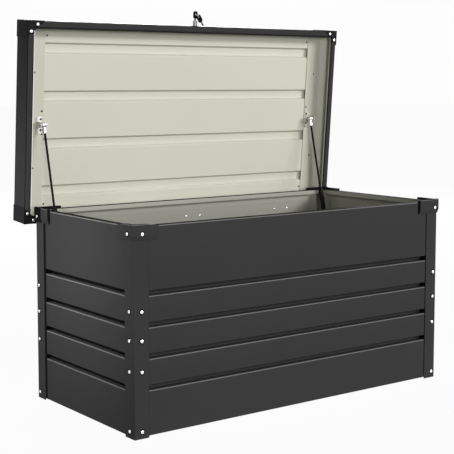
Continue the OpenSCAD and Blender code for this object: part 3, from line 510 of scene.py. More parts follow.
# Blocks that fill the grooves' ends: a rounded section that shrinks a little at the open end
plug = {"start": 40.6, "along": (0, 0.3, 5.2, 5.7, 6), "sizes": (0.97, 1, 1, 0.985, 0.94),
        "round": 1.2, "lift": 0.2}
parts = []
for side in outward:
    for k in range(wall["count"]):
        low = wall["top"] - k * wall["pitch"]
        row = boxSection((wall["face"] + plug["lift"], low),
                         (wall["face"] + wall["depth"], low + wall["mouth"]), plug["round"])
        spot = scaledRows(row, plug["sizes"])
        for start, step in ((plug["start"], 1), (runOf(side) - plug["start"], -1)):
            far = start + step * np.array(plug["along"])[:, None]
            parts.append(tube(sidePoints(side, far, spot[..., 0], spot[..., 1])))
buildPiece("groovePlugs", parts, "box", "blackPlastic", "black_plastic", ["groove_plugs"])

rimRail = {"sheet": 1.2, "face": 3.4, "foot": 530, "top": 565.1, "lip": 25.9, "rearLip": 19.9,
           "return": 10.5, "bend": 2, "ends": (3.4, 5, 9, 15, 26), "inner": (90, 7)}
for side in outward:
    lip = rimRail["rearLip" if side == "rear" else "lip"]
    top, face = rimRail["top"], rimRail["face"]
    section = [(face, rimRail["foot"]), (face, top), (lip, top), (lip, top - rimRail["return"])]
    # Its inside takes the darkened cream, which is painted shade
    buildPiece(side + "RimRail", [mitredSheet(side, section, rimRail)], "box",
               "anthracite insideCoat", "anthracite", ["rim_rail_" + side],
               paint=lambda middle, normal, kind: kind == 1)


# Points (outward, up) carried round a corner: straight arms, joined by a mitre up to the distance
# called square and by an arc beyond it
def cornerSweep(curve, arm, square, ends=(0, 0.5), share=0.75, steps=6):
    out, up = curve.T[:, None]
    arc = np.clip(out - square, 0, None) * share
    near = -out + arc
    armSpot = arm + (near - arm) * np.array(ends)[:, None]
    angle = np.linspace(math.pi, 1.5 * math.pi, steps + 1)[:, None]
    x = np.concatenate([-out + 0 * armSpot, near + arc * np.cos(angle), armSpot[::-1]])
    y = np.concatenate([armSpot, near + arc * np.sin(angle), -out + 0 * armSpot])
    return x, y, up + 0 * x


# The same arms, thinner towards their ends: what stands out of the rim is scaled down there
def easeEnds(x, y, up):
    left = rimCap["arm"] - np.maximum(x, y)
    thin = rimCap["thin"]
    size = thin + (1 - thin) * smooth(np.clip(left / rimCap["ease"], 0, 1))
    level = box["rim"]
    return (np.where(x < 0, x * size, x), np.where(y < 0, y * size, y),
            np.where(up > level, level + (up - level) * size, up))


# Grey faces, painted highlight on the top bend, painted shade on the top, painted shadow at the
# hinge-side ends
def paintCap(middle, normal, kind):
    up, (low, high) = np.abs(normal[:, 2]), rimCap["bent"]
    bent = (kind == 0) & (up > low) & (up < high) & (middle[:, 2] > rimCap["highlightFrom"])
    hingeShadow = middle[:, 1] > box["depth"] - rimCap["dark"]
    return np.where((up >= high) | hingeShadow, 1, np.where(bent, 2, 0))


rimCap = {"arm": 79, "out": 4.5, "foot": 530, "top": 573, "in": 6, "bend": 1.8, "taper": 12,
          "footBend": 12, "dark": 34, "ease": 40, "thin": 0.04, "armEnds": (0, 0.5),
          "flushEnds": (0, 0.03, 0.1, 0.2, 0.3, 0.5), "back": (0.1, 0.6), "backBends": (0.1, 0.3),
          "bent": (0.15, 0.8), "highlightFrom": 560}
capShadeWedge = {"row": [(78.6, 2.2), (78.6, -4.4), (79, -4.4), (79.5, -4), (83.5, 1), (84, 1.9),
                   (84, 2.2)], "heights": (530.4, 541, 572.2, 572.5),
           "proud": (0.08, 1, 1, 1), "back": 2.2}
for right, rear in corners4:
    piece, node = cornerNames(right, rear)
    out, foot, top, end = rimCap["out"], rimCap["foot"], rimCap["top"], -rimCap["in"]
    near, rise = rimCap["back"]
    curves = (softRow([(0.4, foot), (out, foot + rimCap["taper"]), (out, top), (end, top)],
                      [rimCap["footBend"], rimCap["bend"]], 5),
              softRow([(near, foot), (near, foot + rise), (near, box["rim"]),
                       (end, box["rim"])], rimCap["backBends"], 5))
    flush = not (right or rear)
    grids = []
    for curve in curves:
        swept = cornerSweep(curve, rimCap["arm"], 0, rimCap["flushEnds" if flush else "armEnds"])
        grids.append(cornerPoints(right, rear, *(easeEnds(*swept) if flush else swept)))
    buildPiece(piece + "RimCap", [shell(*grids)], "box", "capGrey blackPlastic thinCoat",
               "cap_plastic", ["rim_cap_" + node], paint=paintCap)
    if flush:
        continue
    # Black wedges at the ends of the cap's arms, dark pieces that stand in for shade there: wedges
    # (along, inward) that fall back to the panel, and stand out less at their feet
    row, back = np.array(capShadeWedge["row"]), capShadeWedge["back"]
    z, proud = np.array([capShadeWedge["heights"], capShadeWedge["proud"]])[..., None]
    spot = row[:, 0], back + (row[:, 1] - back) * proud
    buildPiece(piece + "CapShadeWedges",
               [tube(cornerPoints(right, rear, *spot, z, swap)) for swap in (False, True)],
               "box", "blackPlastic", "black_plastic")
print("rim capped")


# Radii of a head up to that of its recess, drawn in between the arms of a cross
def crossRecess(angle, r):
    return np.where(r < screw["recess"], 0.5 + 0.5 * np.cos(2 * angle) ** 4, 1.0)


# Distance of a hexagon's side from its middle, over that of its corner
def hexagon(angle, r):
    fold = np.mod(angle, math.pi / 3) - math.pi / 6
    return np.where(r > screw["shank"], math.cos(math.pi / 6) / np.cos(fold), 1.0)


screw = {"near": 24, "far": 14, "heights": (19, 180, 263, 341), "grips": (4.8, 4, 4, 4),
         "cap": 547, "capOut": 4.5, "capGrip": 8.5, "recess": 2, "shank": 3}
headRows = [(1.2, 1.1), (1.6, 1.15), (1.95, 1.95), (2.3, 2), (3.3, 1.88), (4.2, 1.55),
            (4.65, 1.2), (4.8, 0.9), (4.7, 0.6)]
washerRows = [(2.6, 0), (7.3, 0), (7.5, 0.25), (7.35, 0.6), (2.6, 0.6)]


# Screws given by (at, out, grip): a head, a black washer, real but dark to stand in for the shade
# round the head, and a shank through sheets as thick as grip with a hexagon nut behind them
def driveScrews(name, body, node, spots):
    heads, shadeWashers = [], []
    for at, out, grip in spots:
        e = -grip
        nutRows = [(2.5, 0.5), (2.5, e), (4.55, e), (4.75, e - 0.5), (4.75, e - 3.1),
                   (4.4, e - 3.6), (2.5, e - 3.6), (2.5, e - 5), (2.0, e - 5.6)]
        heads += [spun(headRows, at, out, petal=crossRecess),
                  spun(nutRows, at, out, petal=hexagon)]
        shadeWashers.append(spun(washerRows, at, out, ring=True))
    buildPiece(name + "Screws", heads, body, "screwSteel", "screw_steel", [node])
    buildPiece(name + "ShadeWashers", shadeWashers, body, "blackPlastic", "black_plastic")
    print("screws driven: %d" % len(spots))


spots = []
for side, out in outward.items():
    for along in (screw["near"], runOf(side) - screw["far"]):
        spots += [(sidePoints(side, along, 0, z), out, grip)
                  for z, grip in zip(screw["heights"], screw["grips"])]
        spots.append((sidePoints(side, along, -screw["capOut"], screw["cap"]), out,
                      screw["capGrip"]))
driveScrews("post", "box", "post_screws", spots)

pad = {"at": 0.75, "foot": 573, "radius": 4.5, "round": 0.8}
padTop = (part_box("rim_pads")[1][2] - origin[2]) * 1000
rows = softRow([(pad["radius"], pad["foot"]), (pad["radius"], padTop), (0.4, padTop)],
               pad["round"])
shape = turned(rows) + (pad["at"], pad["at"], 0)
parts = [tube(cornerPoints(right, rear, *np.moveaxis(shape, -1, 0))) for right, rear in corners4]
buildPiece("rimPads", parts, "box", "rubber", "rubber", ["rim_pads"])

# Tray whose height follows the nearer edge: an upturned rim, a bend, then a faint dish
floor = {"gap": 5, "sheet": 0.8, "flange": 30, "face": 2.8, "bend": 2.5, "dish": 0.6,
         "ends": (0, 0.0001, 0.3, 0.8, 1.5, 2.5, 20), "inner": (70, 9)}
grids = []
for lift in (floor["sheet"], 0):
    face = floor["face"] + lift
    ends = face + np.array(floor["ends"])
    x = stations(box["length"], ends, floor["inner"])[:, None]
    y = stations(box["depth"], ends, floor["inner"])[None, :]
    gap = np.minimum(edgeGap(x, box["length"]), edgeGap(y, box["depth"])) - face
    dish = floor["dish"] * np.sin(math.pi * x / box["length"]) * np.sin(
        math.pi * y / box["depth"])
    wallUp = np.where(gap <= 1e-6, floor["flange"] - floor["bend"] - lift, 0)
    grids.append(joined(x, y, floor["gap"] + lift + edgeDrop(gap, floor["bend"]) + dish + wallUp))
# The tray takes the darkened inside cream, which is painted shade
buildPiece("floorPan", [shell(*grids)], "box", "insideCoat", "floor_coat", ["floor_pan"])

rail = {"sheet": 1.2, "out": 28.9, "flange": 8.6, "low": 2.1, "lip": 8.7, "web": 65.9,
        "webIn": -11.1, "bend": 2.0, "ends": (-29.5, -25, -18, -8, 0, 11.1), "inner": (90, 9),
        "shadedBend": (1.4, 3.5), "highlightLip": (1, 3.7)}


# Skirt with a flange and its lip below and a web above, mitred at both ends
def makeLidRail(side):
    section = np.array([(rail["flange"], rail["lip"]), (rail["flange"], rail["low"]),
                        (rail["out"], rail["low"]), (rail["out"], rail["web"]),
                        (rail["webIn"], rail["web"])]) + (0, lid["level"])

    # Cream inside, a painted highlight of cream on the right lip only, and a painted shade line
    # round the outer bend
    def paint(middle, normal, kind):
        out, height = -depthIn(side, middle), middle[:, 2] - lid["level"]
        (inside, below), (past, above) = rail["shadedBend"], rail["highlightLip"]
        bend = (out > rail["out"] - inside) & (height < below)
        lip = (side == "right") & (out < rail["flange"] + past) & (height > above)
        return np.where((kind == 0) | lip, 1, np.where(bend, 2, 0))

    buildPiece(side + "LidRail", [mitredSheet(side, section, rail, -1)], "lid",
               "anthracite creamCoat darkCoat", "anthracite", ["lid_rail_" + side], paint=paint)


for side in outward:
    makeLidRail(side)

# Dark edge trim on the flanges: a rounded section carried round the opening, mitred
trim = {"low": (7.2, 0.9), "high": (12.2, 3.7), "round": 0.9, "highlightReach": 9.3}
row = boxSection(trim["low"], trim["high"], trim["round"])
around = ((False, False), (True, False), (True, True), (False, True))
rings = [cornerPoints(right, rear, -row[:, 0], -row[:, 0], lid["level"] + row[:, 1])
         for right, rear in around]


# Its inner part on the lid's left end is pale zinc, a painted highlight
def paintTrimHighlight(middle, normal, kind):
    out = np.stack([-depthIn(side, middle) for side in outward])
    return (out.argmax(0) == 2) & (out.max(0) < trim["highlightReach"])


buildPiece("openingTrim", [tube(np.array(rings), True)], "lid", "rubber paleZinc", "rubber",
           paint=paintTrimHighlight)

# Light sheet under the lid: pressed ribs, a faint sag, and two sides that fold up at the rails
lining = {"level": 53.4, "sheet": 0.8, "ends": (44, 46, 54, 60), "inner": (100, 11),
          "edges": (0, 0, 0.4, 1.2, 2.6), "more": (-10, 10, 544), "bend": 1.8, "fold": 64.5,
          "in": 27.9, "sag": 0.5, "waves": (0.021, 0.017)}
rib = {"wide": 36, "slope": 7, "deep": 9.5, "beadSlope": 6, "bead": 3, "first": 87,
       "pitch": 143.7, "count": 4}
lidRear, lidWidth = box["depth"] + lid["over"], box["depth"] + 2 * lid["over"]
ribs = [lidRear - rib["first"] - k * rib["pitch"] for k in range(rib["count"])]


# 1 in a rib's floor, falling softly to 0 over its sloped sides
def ribDepth(y, slope):
    gap = np.min([np.abs(y - line) for line in ribs], axis=0)
    return smooth(np.clip((rib["wide"] / 2 - gap) / slope, 0, 1))


# Places across the ribs, close together on their sides
def ribStations(slope):
    half = rib["wide"] / 2
    spread = np.concatenate([half - np.linspace(slope, 0, 9), [half + 1.5]])
    near = np.concatenate([-spread[::-1], spread])
    return np.concatenate([line + near for line in ribs])


e, run = -lining["in"], box["depth"]
edges = e + np.array(lining["edges"])
x = stations(box["length"], lining["ends"], lining["inner"])[:, None]
y = np.sort(np.concatenate([edges, lining["more"], ribStations(rib["slope"]), run - edges]))
sag = lining["sag"] * np.sin(x * lining["waves"][0]) * np.sin(y * lining["waves"][1])
sag[:, [0, -1]] = 0
grids = []
for side in (-1, 1):
    level = lid["level"] + lining["level"] + side * lining["sheet"] / 2
    w = level + rib["deep"] * ribDepth(y, rib["slope"])
    w += edgeDrop(edgeGap(y, run, e), lining["bend"])
    w[[0, -1]] = lid["level"] + lining["fold"]
    grids.append(joined(x, y, w + sag))
buildPiece("lidLining", [shell(*grids)], "lid", "creamCoat", "light_lining", ["lid_lining"])

endPlate = {"level": 52.6, "sheet": 0.8, "hem": 1.6, "hemFrom": 50.5, "fold": 64.5, "in": 27.6,
            "low": 8, "slopeLow": 30, "slopeHigh": -5.5, "start": 20, "rounds": (6, 9),
            "bend": 1.8, "flat": (40, 48, 50, 51, 53.4, 54), "inner": (0, 9)}


# Flat plate that slopes down to the end rail; its two ends fold up at the long rails
def endPlateGrid(right, side):
    e, level, run = -endPlate["in"], endPlate["level"], box["depth"]
    line = softRow([(e, endPlate["low"]), (e, endPlate["slopeLow"]),
                    (endPlate["slopeHigh"], level), (endPlate["start"], level)],
                   endPlate["rounds"], 6)
    x = np.concatenate([line[:, 0], endPlate["flat"]])
    drop = level - np.concatenate([line[:, 1], [level] * len(endPlate["flat"])])
    flat = drop < 1e-6
    y = stations(run, e + np.array(lining["edges"]), endPlate["inner"])[:, None]
    w = lid["level"] + side * endPlate["sheet"] / 2 + level - drop + flat * edgeDrop(
        edgeGap(y, run, e), endPlate["bend"])
    w[:, x > endPlate["hemFrom"]] -= endPlate["hem"] if side < 0 and right else 0
    w[0, flat] = w[-1, flat] = lid["level"] + endPlate["fold"]
    return joined(box["length"] - x if right else x, y, w)


# The end plates take the darker cream, which is painted shade
for right, name, node in ((False, "Left", "left"), (True, "Right", "right")):
    buildPiece("endPlate" + name, [shell(*(endPlateGrid(right, side) for side in (-1, 1)))],
               "lid", "shadedPlateCream", "light_lining", ["lid_end_plate_" + node])

# Lid sheet with raised beads; its height is held down along the four folded edges
skin = {"out": 29.5, "low": 66.6, "top": 70, "sheet": 0.8, "bend": 2, "beadEnd": 54,
        "beadEase": 6, "fold": (0, 0, 0.3, 0.9, 2), "border": (0, 52, 53, 54, 57, 60, 62),
        "inner": (100, 9)}
grids = []
for inset in (0, skin["sheet"]):
    e = -skin["out"] + inset
    fold = e + np.array(skin["fold"])
    x = stations(box["length"], [*fold, *skin["border"]], skin["inner"])[:, None]
    run = box["depth"]
    y = np.sort(np.concatenate([fold, [0, run], ribStations(rib["beadSlope"]), run - fold]))
    drop = np.maximum(*(edgeDrop(edgeGap(*spots, e), skin["bend"] - inset)
                        for spots in ((x, box["length"]), (y, run))))
    ends = smooth(np.clip((edgeGap(x, box["length"]) - skin["beadEnd"]) / skin["beadEase"], 0, 1))
    w = lid["level"] + skin["top"] - inset - drop
    w += rib["bead"] * ends * ribDepth(y, rib["beadSlope"])
    w[[0, -1]] = w[:, [0, -1]] = lid["level"] + skin["low"]
    grids.append(joined(x, y, w))
buildPiece("lidSkin", [shell(*grids)], "lid", "lidCoat", "anthracite", ["lid_skin"])

lidCap = {"outer": (31, 71.5, 2), "inner": (29.55, 70.05, 0.6), "arm": 19, "square": 27,
          "gusset": (57, 47), "thick": 1.5, "reach": (0, 0.35, 0.7, 0.9, 1), "edge": (0.9, 1.06),
          "shadeLineUp": 2, "shadeLineIn": 0.6}
longSide, shortSide = lidCap["gusset"]


# Plastic cap with a gusset below; a black strip along its slanting edge is painted shade
def paintGussetShade(middle, normal, kind):
    a = edgeGap(middle[:, 0], box["length"]) + lid["over"]
    b = edgeGap(middle[:, 1], box["depth"]) + lid["over"]
    share, (low, high) = a / longSide + b / shortSide, lidCap["edge"]
    return ((share > low) & (share < high) & (middle[:, 2] < lid["level"] + lidCap["shadeLineUp"])
            & (np.minimum(a, b) > lidCap["shadeLineIn"]))


for right, rear in corners4:
    base = lid["level"]
    grids = []
    for out, up, bend in (lidCap["outer"], lidCap["inner"]):
        curve = softRow([(out, base), (out, base + up), (-lidCap["arm"], base + up)], bend, 5)
        swept = cornerSweep(curve, lidCap["arm"], lidCap["square"])
        grids.append(cornerPoints(right, rear, *swept))
    # Gusset: rays from the corner, each ending on the slanting edge
    t = np.linspace(0, 1, 13)[None, :]
    reach = np.array(lidCap["reach"])[:, None]
    a, b = longSide * reach * t - lid["over"], shortSide * reach * (1 - t) - lid["over"]
    gusset = shell(*(cornerPoints(right, rear, a, b, base + up) for up in (0, lidCap["thick"])))
    piece, node = cornerNames(right, rear)
    buildPiece(piece + "LidCap", [shell(*grids), gusset], "lid", "capPlastic blackPlastic",
               "cap_plastic", ["lid_cap_" + node], bevel=0.4, paint=paintGussetShade)
print("lid closed up")

gussetScrew = {"along": 32, "edge": 11.5, "grip": 2.7}
down = (0, 0, -1)
driveScrews("gusset", "lid", "lid_screws", [
    (cornerPoints(right, rear, gussetScrew["along"] - lid["over"],
                  gussetScrew["edge"] - lid["over"], lid["level"], swap), down,
     gussetScrew["grip"]) for right, rear in corners4 for swap in (False, True)])

# Each small screw: distance from the posts' face, share of the lid's width from the rear, height
liningScrews = [(60, 0.08, 53), (21, 0.2642, 52.2), (21, 0.7425, 52.2), (60, 0.9267, 53)]
smallRows = [(0.9, 0.7), (1.1, 0.75), (1.3, 1.1), (2.2, 1.05), (2.9, 0.6), (3.0, 0.2), (1.5, 0.1),
             (1.5, -3)]
parts = [spun(smallRows, cornerPoints(right, False, x, lidRear - share * lidWidth,
                                      lid["level"] + up), down, 20, crossRecess)
         for right in (False, True) for x, share, up in liningScrews]
buildPiece("liningScrews", parts, "lid", "darkScrews", "dark_screws", ["lining_screws"])

hinges = {"places": (200, 569, 938), "half": 40, "middle": 14.5, "gap": 0.5, "leaf": 1.6,
          "roll": 3.2, "wall": 536.8, "foot": 494.86, "wallEnd": 556, "finger": (555.8, 559),
          "railLine": [(565.5, 535.36), (565.5, 545), (565.5, 567.5)],
          "tongue": [(565.5, 536.5), (565.5, 534.5), (565.1, 532.4)], "rivet": 28,
          "wallRivet": (508.86, 535.2, 537.6), "railRivet": (552.5, 564.7, 567.5)}


# Both faces of a sheet that follows a line in the y-z plane, between two places along x
def strip(line, low, high):
    way = np.gradient(line, axis=0)
    way /= np.linalg.norm(way, axis=1)[:, None]
    side = leftOf(way) * hinges["leaf"] / 2
    x = np.array([low, low + 0.3, high - 0.3, high])[:, None]
    return shell(*(joined(x, *row.T[:, None]) for row in (line + side, line - side)))


# Arc of a leaf's end round the hinge line, clockwise from an angle in degrees
def rolledEnd(start, turn=285):
    angle = np.radians(start - np.linspace(0, turn, 24))
    return hinge[1:] + hinges["roll"] * np.stack([np.cos(angle), np.sin(angle)], -1)


# Rivet along y through what lies between low and high
def rivet(x, z, low, high):
    rows = [(0.6, -1.5), (1.8, -1.35), (2.9, -0.9), (3.45, -0.3), (3.5, 0), (2.0, 0)]
    rows = bothWays([(r, low + h) for r, h in rows], (low + high) / 2)
    return spun(rows, (x, 0, z), (0, 1, 0))


def makeHinges():
    h = hinges
    topLine = hinge[2] + h["roll"]
    wallLine = softRow([(h["wall"], h["foot"]), (h["wall"], topLine), (h["wallEnd"], topLine)],
                       2.4, 6)
    finger = np.concatenate([[(y, topLine) for y in h["finger"]], rolledEnd(90)])
    railLine, tongue = np.array(h["railLine"]), np.concatenate([h["tongue"], rolledEnd(0)])
    wallParts, railParts, pins, wallRivets, railRivets = [], [], [], [], []
    pinRows = bothWays([(0.8, -43.6), (2.4, -43.3), (3.1, -42.4), (3.2, -40.6), (2, -40.5)], 0)
    for x in h["places"]:
        low, high, edge = x - h["half"], x + h["half"], h["middle"] + h["gap"]
        wallParts += [strip(wallLine, low, high), strip(finger, low, x - edge),
                      strip(finger, x + edge, high)]
        railParts += [strip(railLine, low, high),
                      strip(tongue, x - h["middle"], x + h["middle"])]
        pins.append(spun(pinRows, (x, hinge[1], hinge[2]), (1, 0, 0), 20))
        for spot in (x - h["rivet"], x + h["rivet"]):
            wallRivets.append(rivet(spot, *h["wallRivet"]))
            railRivets.append(rivet(spot, *h["railRivet"]))
    buildPiece("wallHingeLeaves", wallParts, "box", "zincSteel", "zinc_steel",
               ["hinge_body_leaves"], bevel=0.2)
    buildPiece("lidHingeLeaves", railParts, "lid", "zincSteel", "zinc_steel",
               ["hinge_lid_leaves"], bevel=0.2)
    buildPiece("hingePinBars", pins, "box", "zincSteel", "zinc_steel", ["hinge_pins"])
    buildPiece("wallRivets", wallRivets, "box", "screwSteel", "screw_steel",
               ["hinge_body_rivets"])
    buildPiece("railRivets", railRivets, "lid", "screwSteel", "screw_steel",
               ["hinge_lid_rivets"])


makeHinges()
print("hinges rolled")

strut = {"x": 44, "pivot": (277.5, 553), "foot": (447, 333), "shown": 248, "neck": 12,
         "plateX": ((35, 47), (29, 48)), "plateY": (255, 308), "leg": (29, 31), "legHalf": 8.5,
         "legZ": (545, 574.4), "plate": (572.7, 574.7), "web": 36, "screws": (-15, 18),
         "screwX": (44, 45), "loose": (-39, 30), "looseX": 48, "looseUp": 52.2, "headSize": 1.15,
         "footPlate": (28, 16), "footX": (2.8, 4.8), "footRivets": (-20, 20),
         "rounds": {"foot": 5, "plate": 3, "web": 2, "leg": 8}}


# A flat bar with rounded corners: its outline in two directions, carried through its thickness
def flatBar(low, high, radius, start, stop, order=(0, 1, 2)):
    spot = scaledRows(boxSection(low, high, radius, 5), (0.975, 1, 1, 0.975))
    deep = np.array([start, start + 0.3, stop - 0.3, stop])[:, None]
    spot = joined(spot[..., 0], spot[..., 1], deep)
    return tube(spot[..., order])


# Modelled on the left; the right one is its mirror image
def makeStrut(right):
    pivot = opened(np.array([strut["x"], *strut["pivot"]]))
    foot = np.array([strut["x"], *strut["foot"]])
    reach = np.linalg.norm(foot - pivot)
    slope = (foot - pivot) / reach
    end, near = reach - strut["neck"], strut["shown"]

    def add(name, parts, body, finishes, slot, node=None, **more):
        if right:
            parts = [(spots * (-1, 1, 1) + (box["length"], 0, 0), *rest)
                     for spots, *rest in parts]
        side = ("left", "right")[right]
        if body in ("rod", "cylinder"):
            body += "_" + side
        nodes = [node + "_" + side] if node else []
        buildPiece(name + side.capitalize(), parts, body, finishes, slot, nodes, **more)

    def alongStrut(rows):
        return spun(rows, pivot, slope, 32)

    def across(rows, y, z, steps=32, ring=False):
        return spun(rows, (0, y, z), (1, 0, 0), steps, ring=ring)

    eyeRows = bothWays([(4.1, 38.4), (4.5, 38), (7.4, 38), (7.85, 38.4), (8, 39)], strut["x"])
    sleeveRows = [(1, 5.4), (4.9, 5.5), (5.4, 6.2), (5.5, 11.5), (5.0, 12), (5.0, 13),
                  (5.5, 13.5), (5.5, 20), (5.1, 20.4), (5.1, 21.2), (5.5, 21.6), (5.5, 25.6),
                  (5.0, 26.7), (4.0, 27), (1, 27)]
    add("strutEnd", [across(eyeRows, *pivot[1:], ring=True), alongStrut(sleeveRows)], "rod",
        "brightFitting", "bright_fitting", "strut_fitting")
    rodRows = [(0.5, 26), (3.3, 26), (3.5, 26.4), (3.5, 140), (3.5, 256), (6.2, 256), (6.4, 256.3),
               (6.4, 258), (6.1, 258.3), (6.1, 259.3), (6.4, 259.6), (6.4, 261.7), (6.1, 262),
               (0.5, 262)]
    add("strutPiston", [alongStrut(rodRows)], "rod", "strutBlack", "strut_black", "strut_rod")
    tubeRows = [(0.5, end), (6.6, end), (7.5, end - 0.4), (8, end - 1.4), (8, near + 8.4),
                (7.7, near + 8), (7.7, near + 7), (8, near + 6.6), (8, near + 1.6),
                (7.6, near + 0.5), (6.8, near), (4.3, near), (3.9, near + 0.5),
                (3.6, near + 1), (3.6, near + 6), (6.5, near + 6), (6.5, end - 2), (0.5, end - 2)]
    neckRows = [(1, end - 1), (5, end - 1), (5.5, end - 0.4), (5.5, reach - 6), (1, reach - 6)]
    footRows = bothWays([(0.5, 36), (3, 36), (3.2, 36.4), (4.4, 36.4), (4.6, 36), (7.3, 36),
                         (8, 36.7)], strut["x"])
    add("gasCylinder", [alongStrut(tubeRows), alongStrut(neckRows), across(footRows, *foot[1:])],
        "cylinder", "strutBlack", "strut_black", "strut_cylinder")
    spacerRows = [(1, 4.6), (7, 4.6), (7, 34.9), (6.3, 35.6), (4.4, 35.6), (4.2, 35.2), (1, 35.2)]
    domeRows = [(0.5, 6.3), (1.6, 6.15), (2.7, 5.7), (3.3, 5.1), (3.4, 4.6), (0.5, 4.6)]
    (y, z), half, rounds = strut["foot"], strut["footPlate"], strut["rounds"]
    parts = [flatBar(foot[1:] - half, foot[1:] + half, rounds["foot"], *strut["footX"],
                     (2, 0, 1)), across(spacerRows, y, z)]
    parts += [across(domeRows, y + step, z, 20) for step in strut["footRivets"]]
    add("footPlate", parts, "box", "zincSteel", "zinc_steel", "strut_bracket")

    y, z = strut["pivot"]
    studRows = [(1, 29.2), (5.2, 30.8), (5.2, 32.4), (4.6, 33.2), (4.0, 33.6), (4.0, 50.4),
                (5.4, 50.4), (6, 50.7), (6, 51.5), (5.5, 52), (2.6, 52), (2.2, 51.6), (1, 51.6)]
    (x0, x1), (y0, y1) = strut["plateX"][right], strut["plateY"]
    (leg0, leg1), (z0, z1), half = strut["leg"], strut["plate"], strut["legHalf"]
    parts = [flatBar((x0, y0), (x1, y1), rounds["plate"], z0, z1),
             flatBar((leg0, y0 + 1), (strut["web"], y1 - 1), rounds["web"], z0 + 0.1, z1 - 0.1),
             flatBar((y - half, strut["legZ"][0]), (y + half, strut["legZ"][1]), rounds["leg"],
                     leg0, leg1, (2, 0, 1)), across(studRows, y, z)]
    # Left bracket lit zinc with the part left of its plate in shaded zinc, the right one all
    # shaded zinc: painted light and shade
    add("studPlate", parts, "lid", "dullZinc dullZinc" if right else "paleZinc dullZinc",
        "zinc_steel", "strut_stud",
        paint=lambda middle, normal, kind: middle[:, 0] < strut["plateX"][0][0])
    spots = [(strut["screwX"][right], y + along, z0) for along in strut["screws"]]
    spots += [(strut["looseX"], y + along, lid["level"] + strut["looseUp"])
              for along in strut["loose"]]
    rows = np.array(smallRows) * strut["headSize"]
    add("plateScrews", [spun(rows, at, down, 20, crossRecess) for at in spots], "lid",
        "darkScrews", "dark_screws")


for right in (False, True):
    makeStrut(right)
print("struts fitted")

lock = {"x": 569, "z": 535.5, "bow": 54, "thick": 2.4, "apart": 2.6, "ring": 4.2, "wire": 0.5,
        "lean": -30, "hole": (3.4, 64.5), "slotEnd": (0.8, 68.2), "slot": 1.25,
        "spareHole": (10.317, 60.506), "spareTurn": 215, "blade": 2.6}
keyOutline = {"middle": (0, 11.5), "half": (8.4, 11.5), "corner": 6}
spareOutline = {"middle": (0, 7.4), "half": (8.6, 13), "corner": 6.4}
spareSlot = {"middle": (0, 1.5), "half": (0.9, 2.4), "corner": 0.9}


# Box with round corners, turned clockwise: distance from its edge, below 0 inside
def roundedBox(x, y, middle, half, corner, turn=0):
    x, y, c, s = x - middle[0], y - middle[1], math.cos(turn), math.sin(turn)
    a = np.abs(x * c - y * s) - half[0] + corner
    b = np.abs(x * s + y * c) - half[1] + corner
    return np.hypot(np.maximum(a, 0), np.maximum(b, 0)) - corner


# Radius of a rounded box at each angle about a middle, by halving
def reachOf(outline, middle, angle, far=60):
    low, high = np.zeros_like(angle), np.full_like(angle, far)
    for _ in range(30):
        radius = (low + high) / 2
        inside = roundedBox(middle[0] + radius * np.cos(angle),
                            middle[1] + radius * np.sin(angle), **outline) < 0
        low, high = np.where(inside, radius, low), np.where(inside, high, radius)
    return radius


# A key's bow: a ring between a rounded outline and a slot, with soft edges and a dished face
def bowPlate(outline, slot, toLid, steps=56):
    middle, angle = slot["middle"], fullTurn(steps)
    outer, inner = reachOf(outline, middle, angle), reachOf(slot, middle, angle)
    share = np.array([0, 0.06, 0.2, 0.5, 0.8, 0.94, 1.0])
    lift = lock["thick"] / 2 * np.array([0.55, 0.92, 1.0, 0.86, 1.0, 0.92, 0.55])
    share = np.concatenate([share, share[::-1]])
    radius = outer[:, None] + (inner - outer)[:, None] * share
    u = middle[0] + radius * np.cos(angle)[:, None]
    v = middle[1] + radius * np.sin(angle)[:, None]
    return tube(toLid(u, v, np.concatenate([lift, -lift[::-1]])), True)


# From a bow's own plane (u along x, v outwards, w down) onto the closed lid
def onBow(spot, lower, turn=0):
    c, s = math.cos(math.radians(turn)), math.sin(math.radians(turn))

    def toLid(u, v, w):
        return joined(lock["x"] + spot[0] + u * c - v * s, -spot[1] - u * s - v * c,
                      lock["z"] - lower - w)
    return toLid


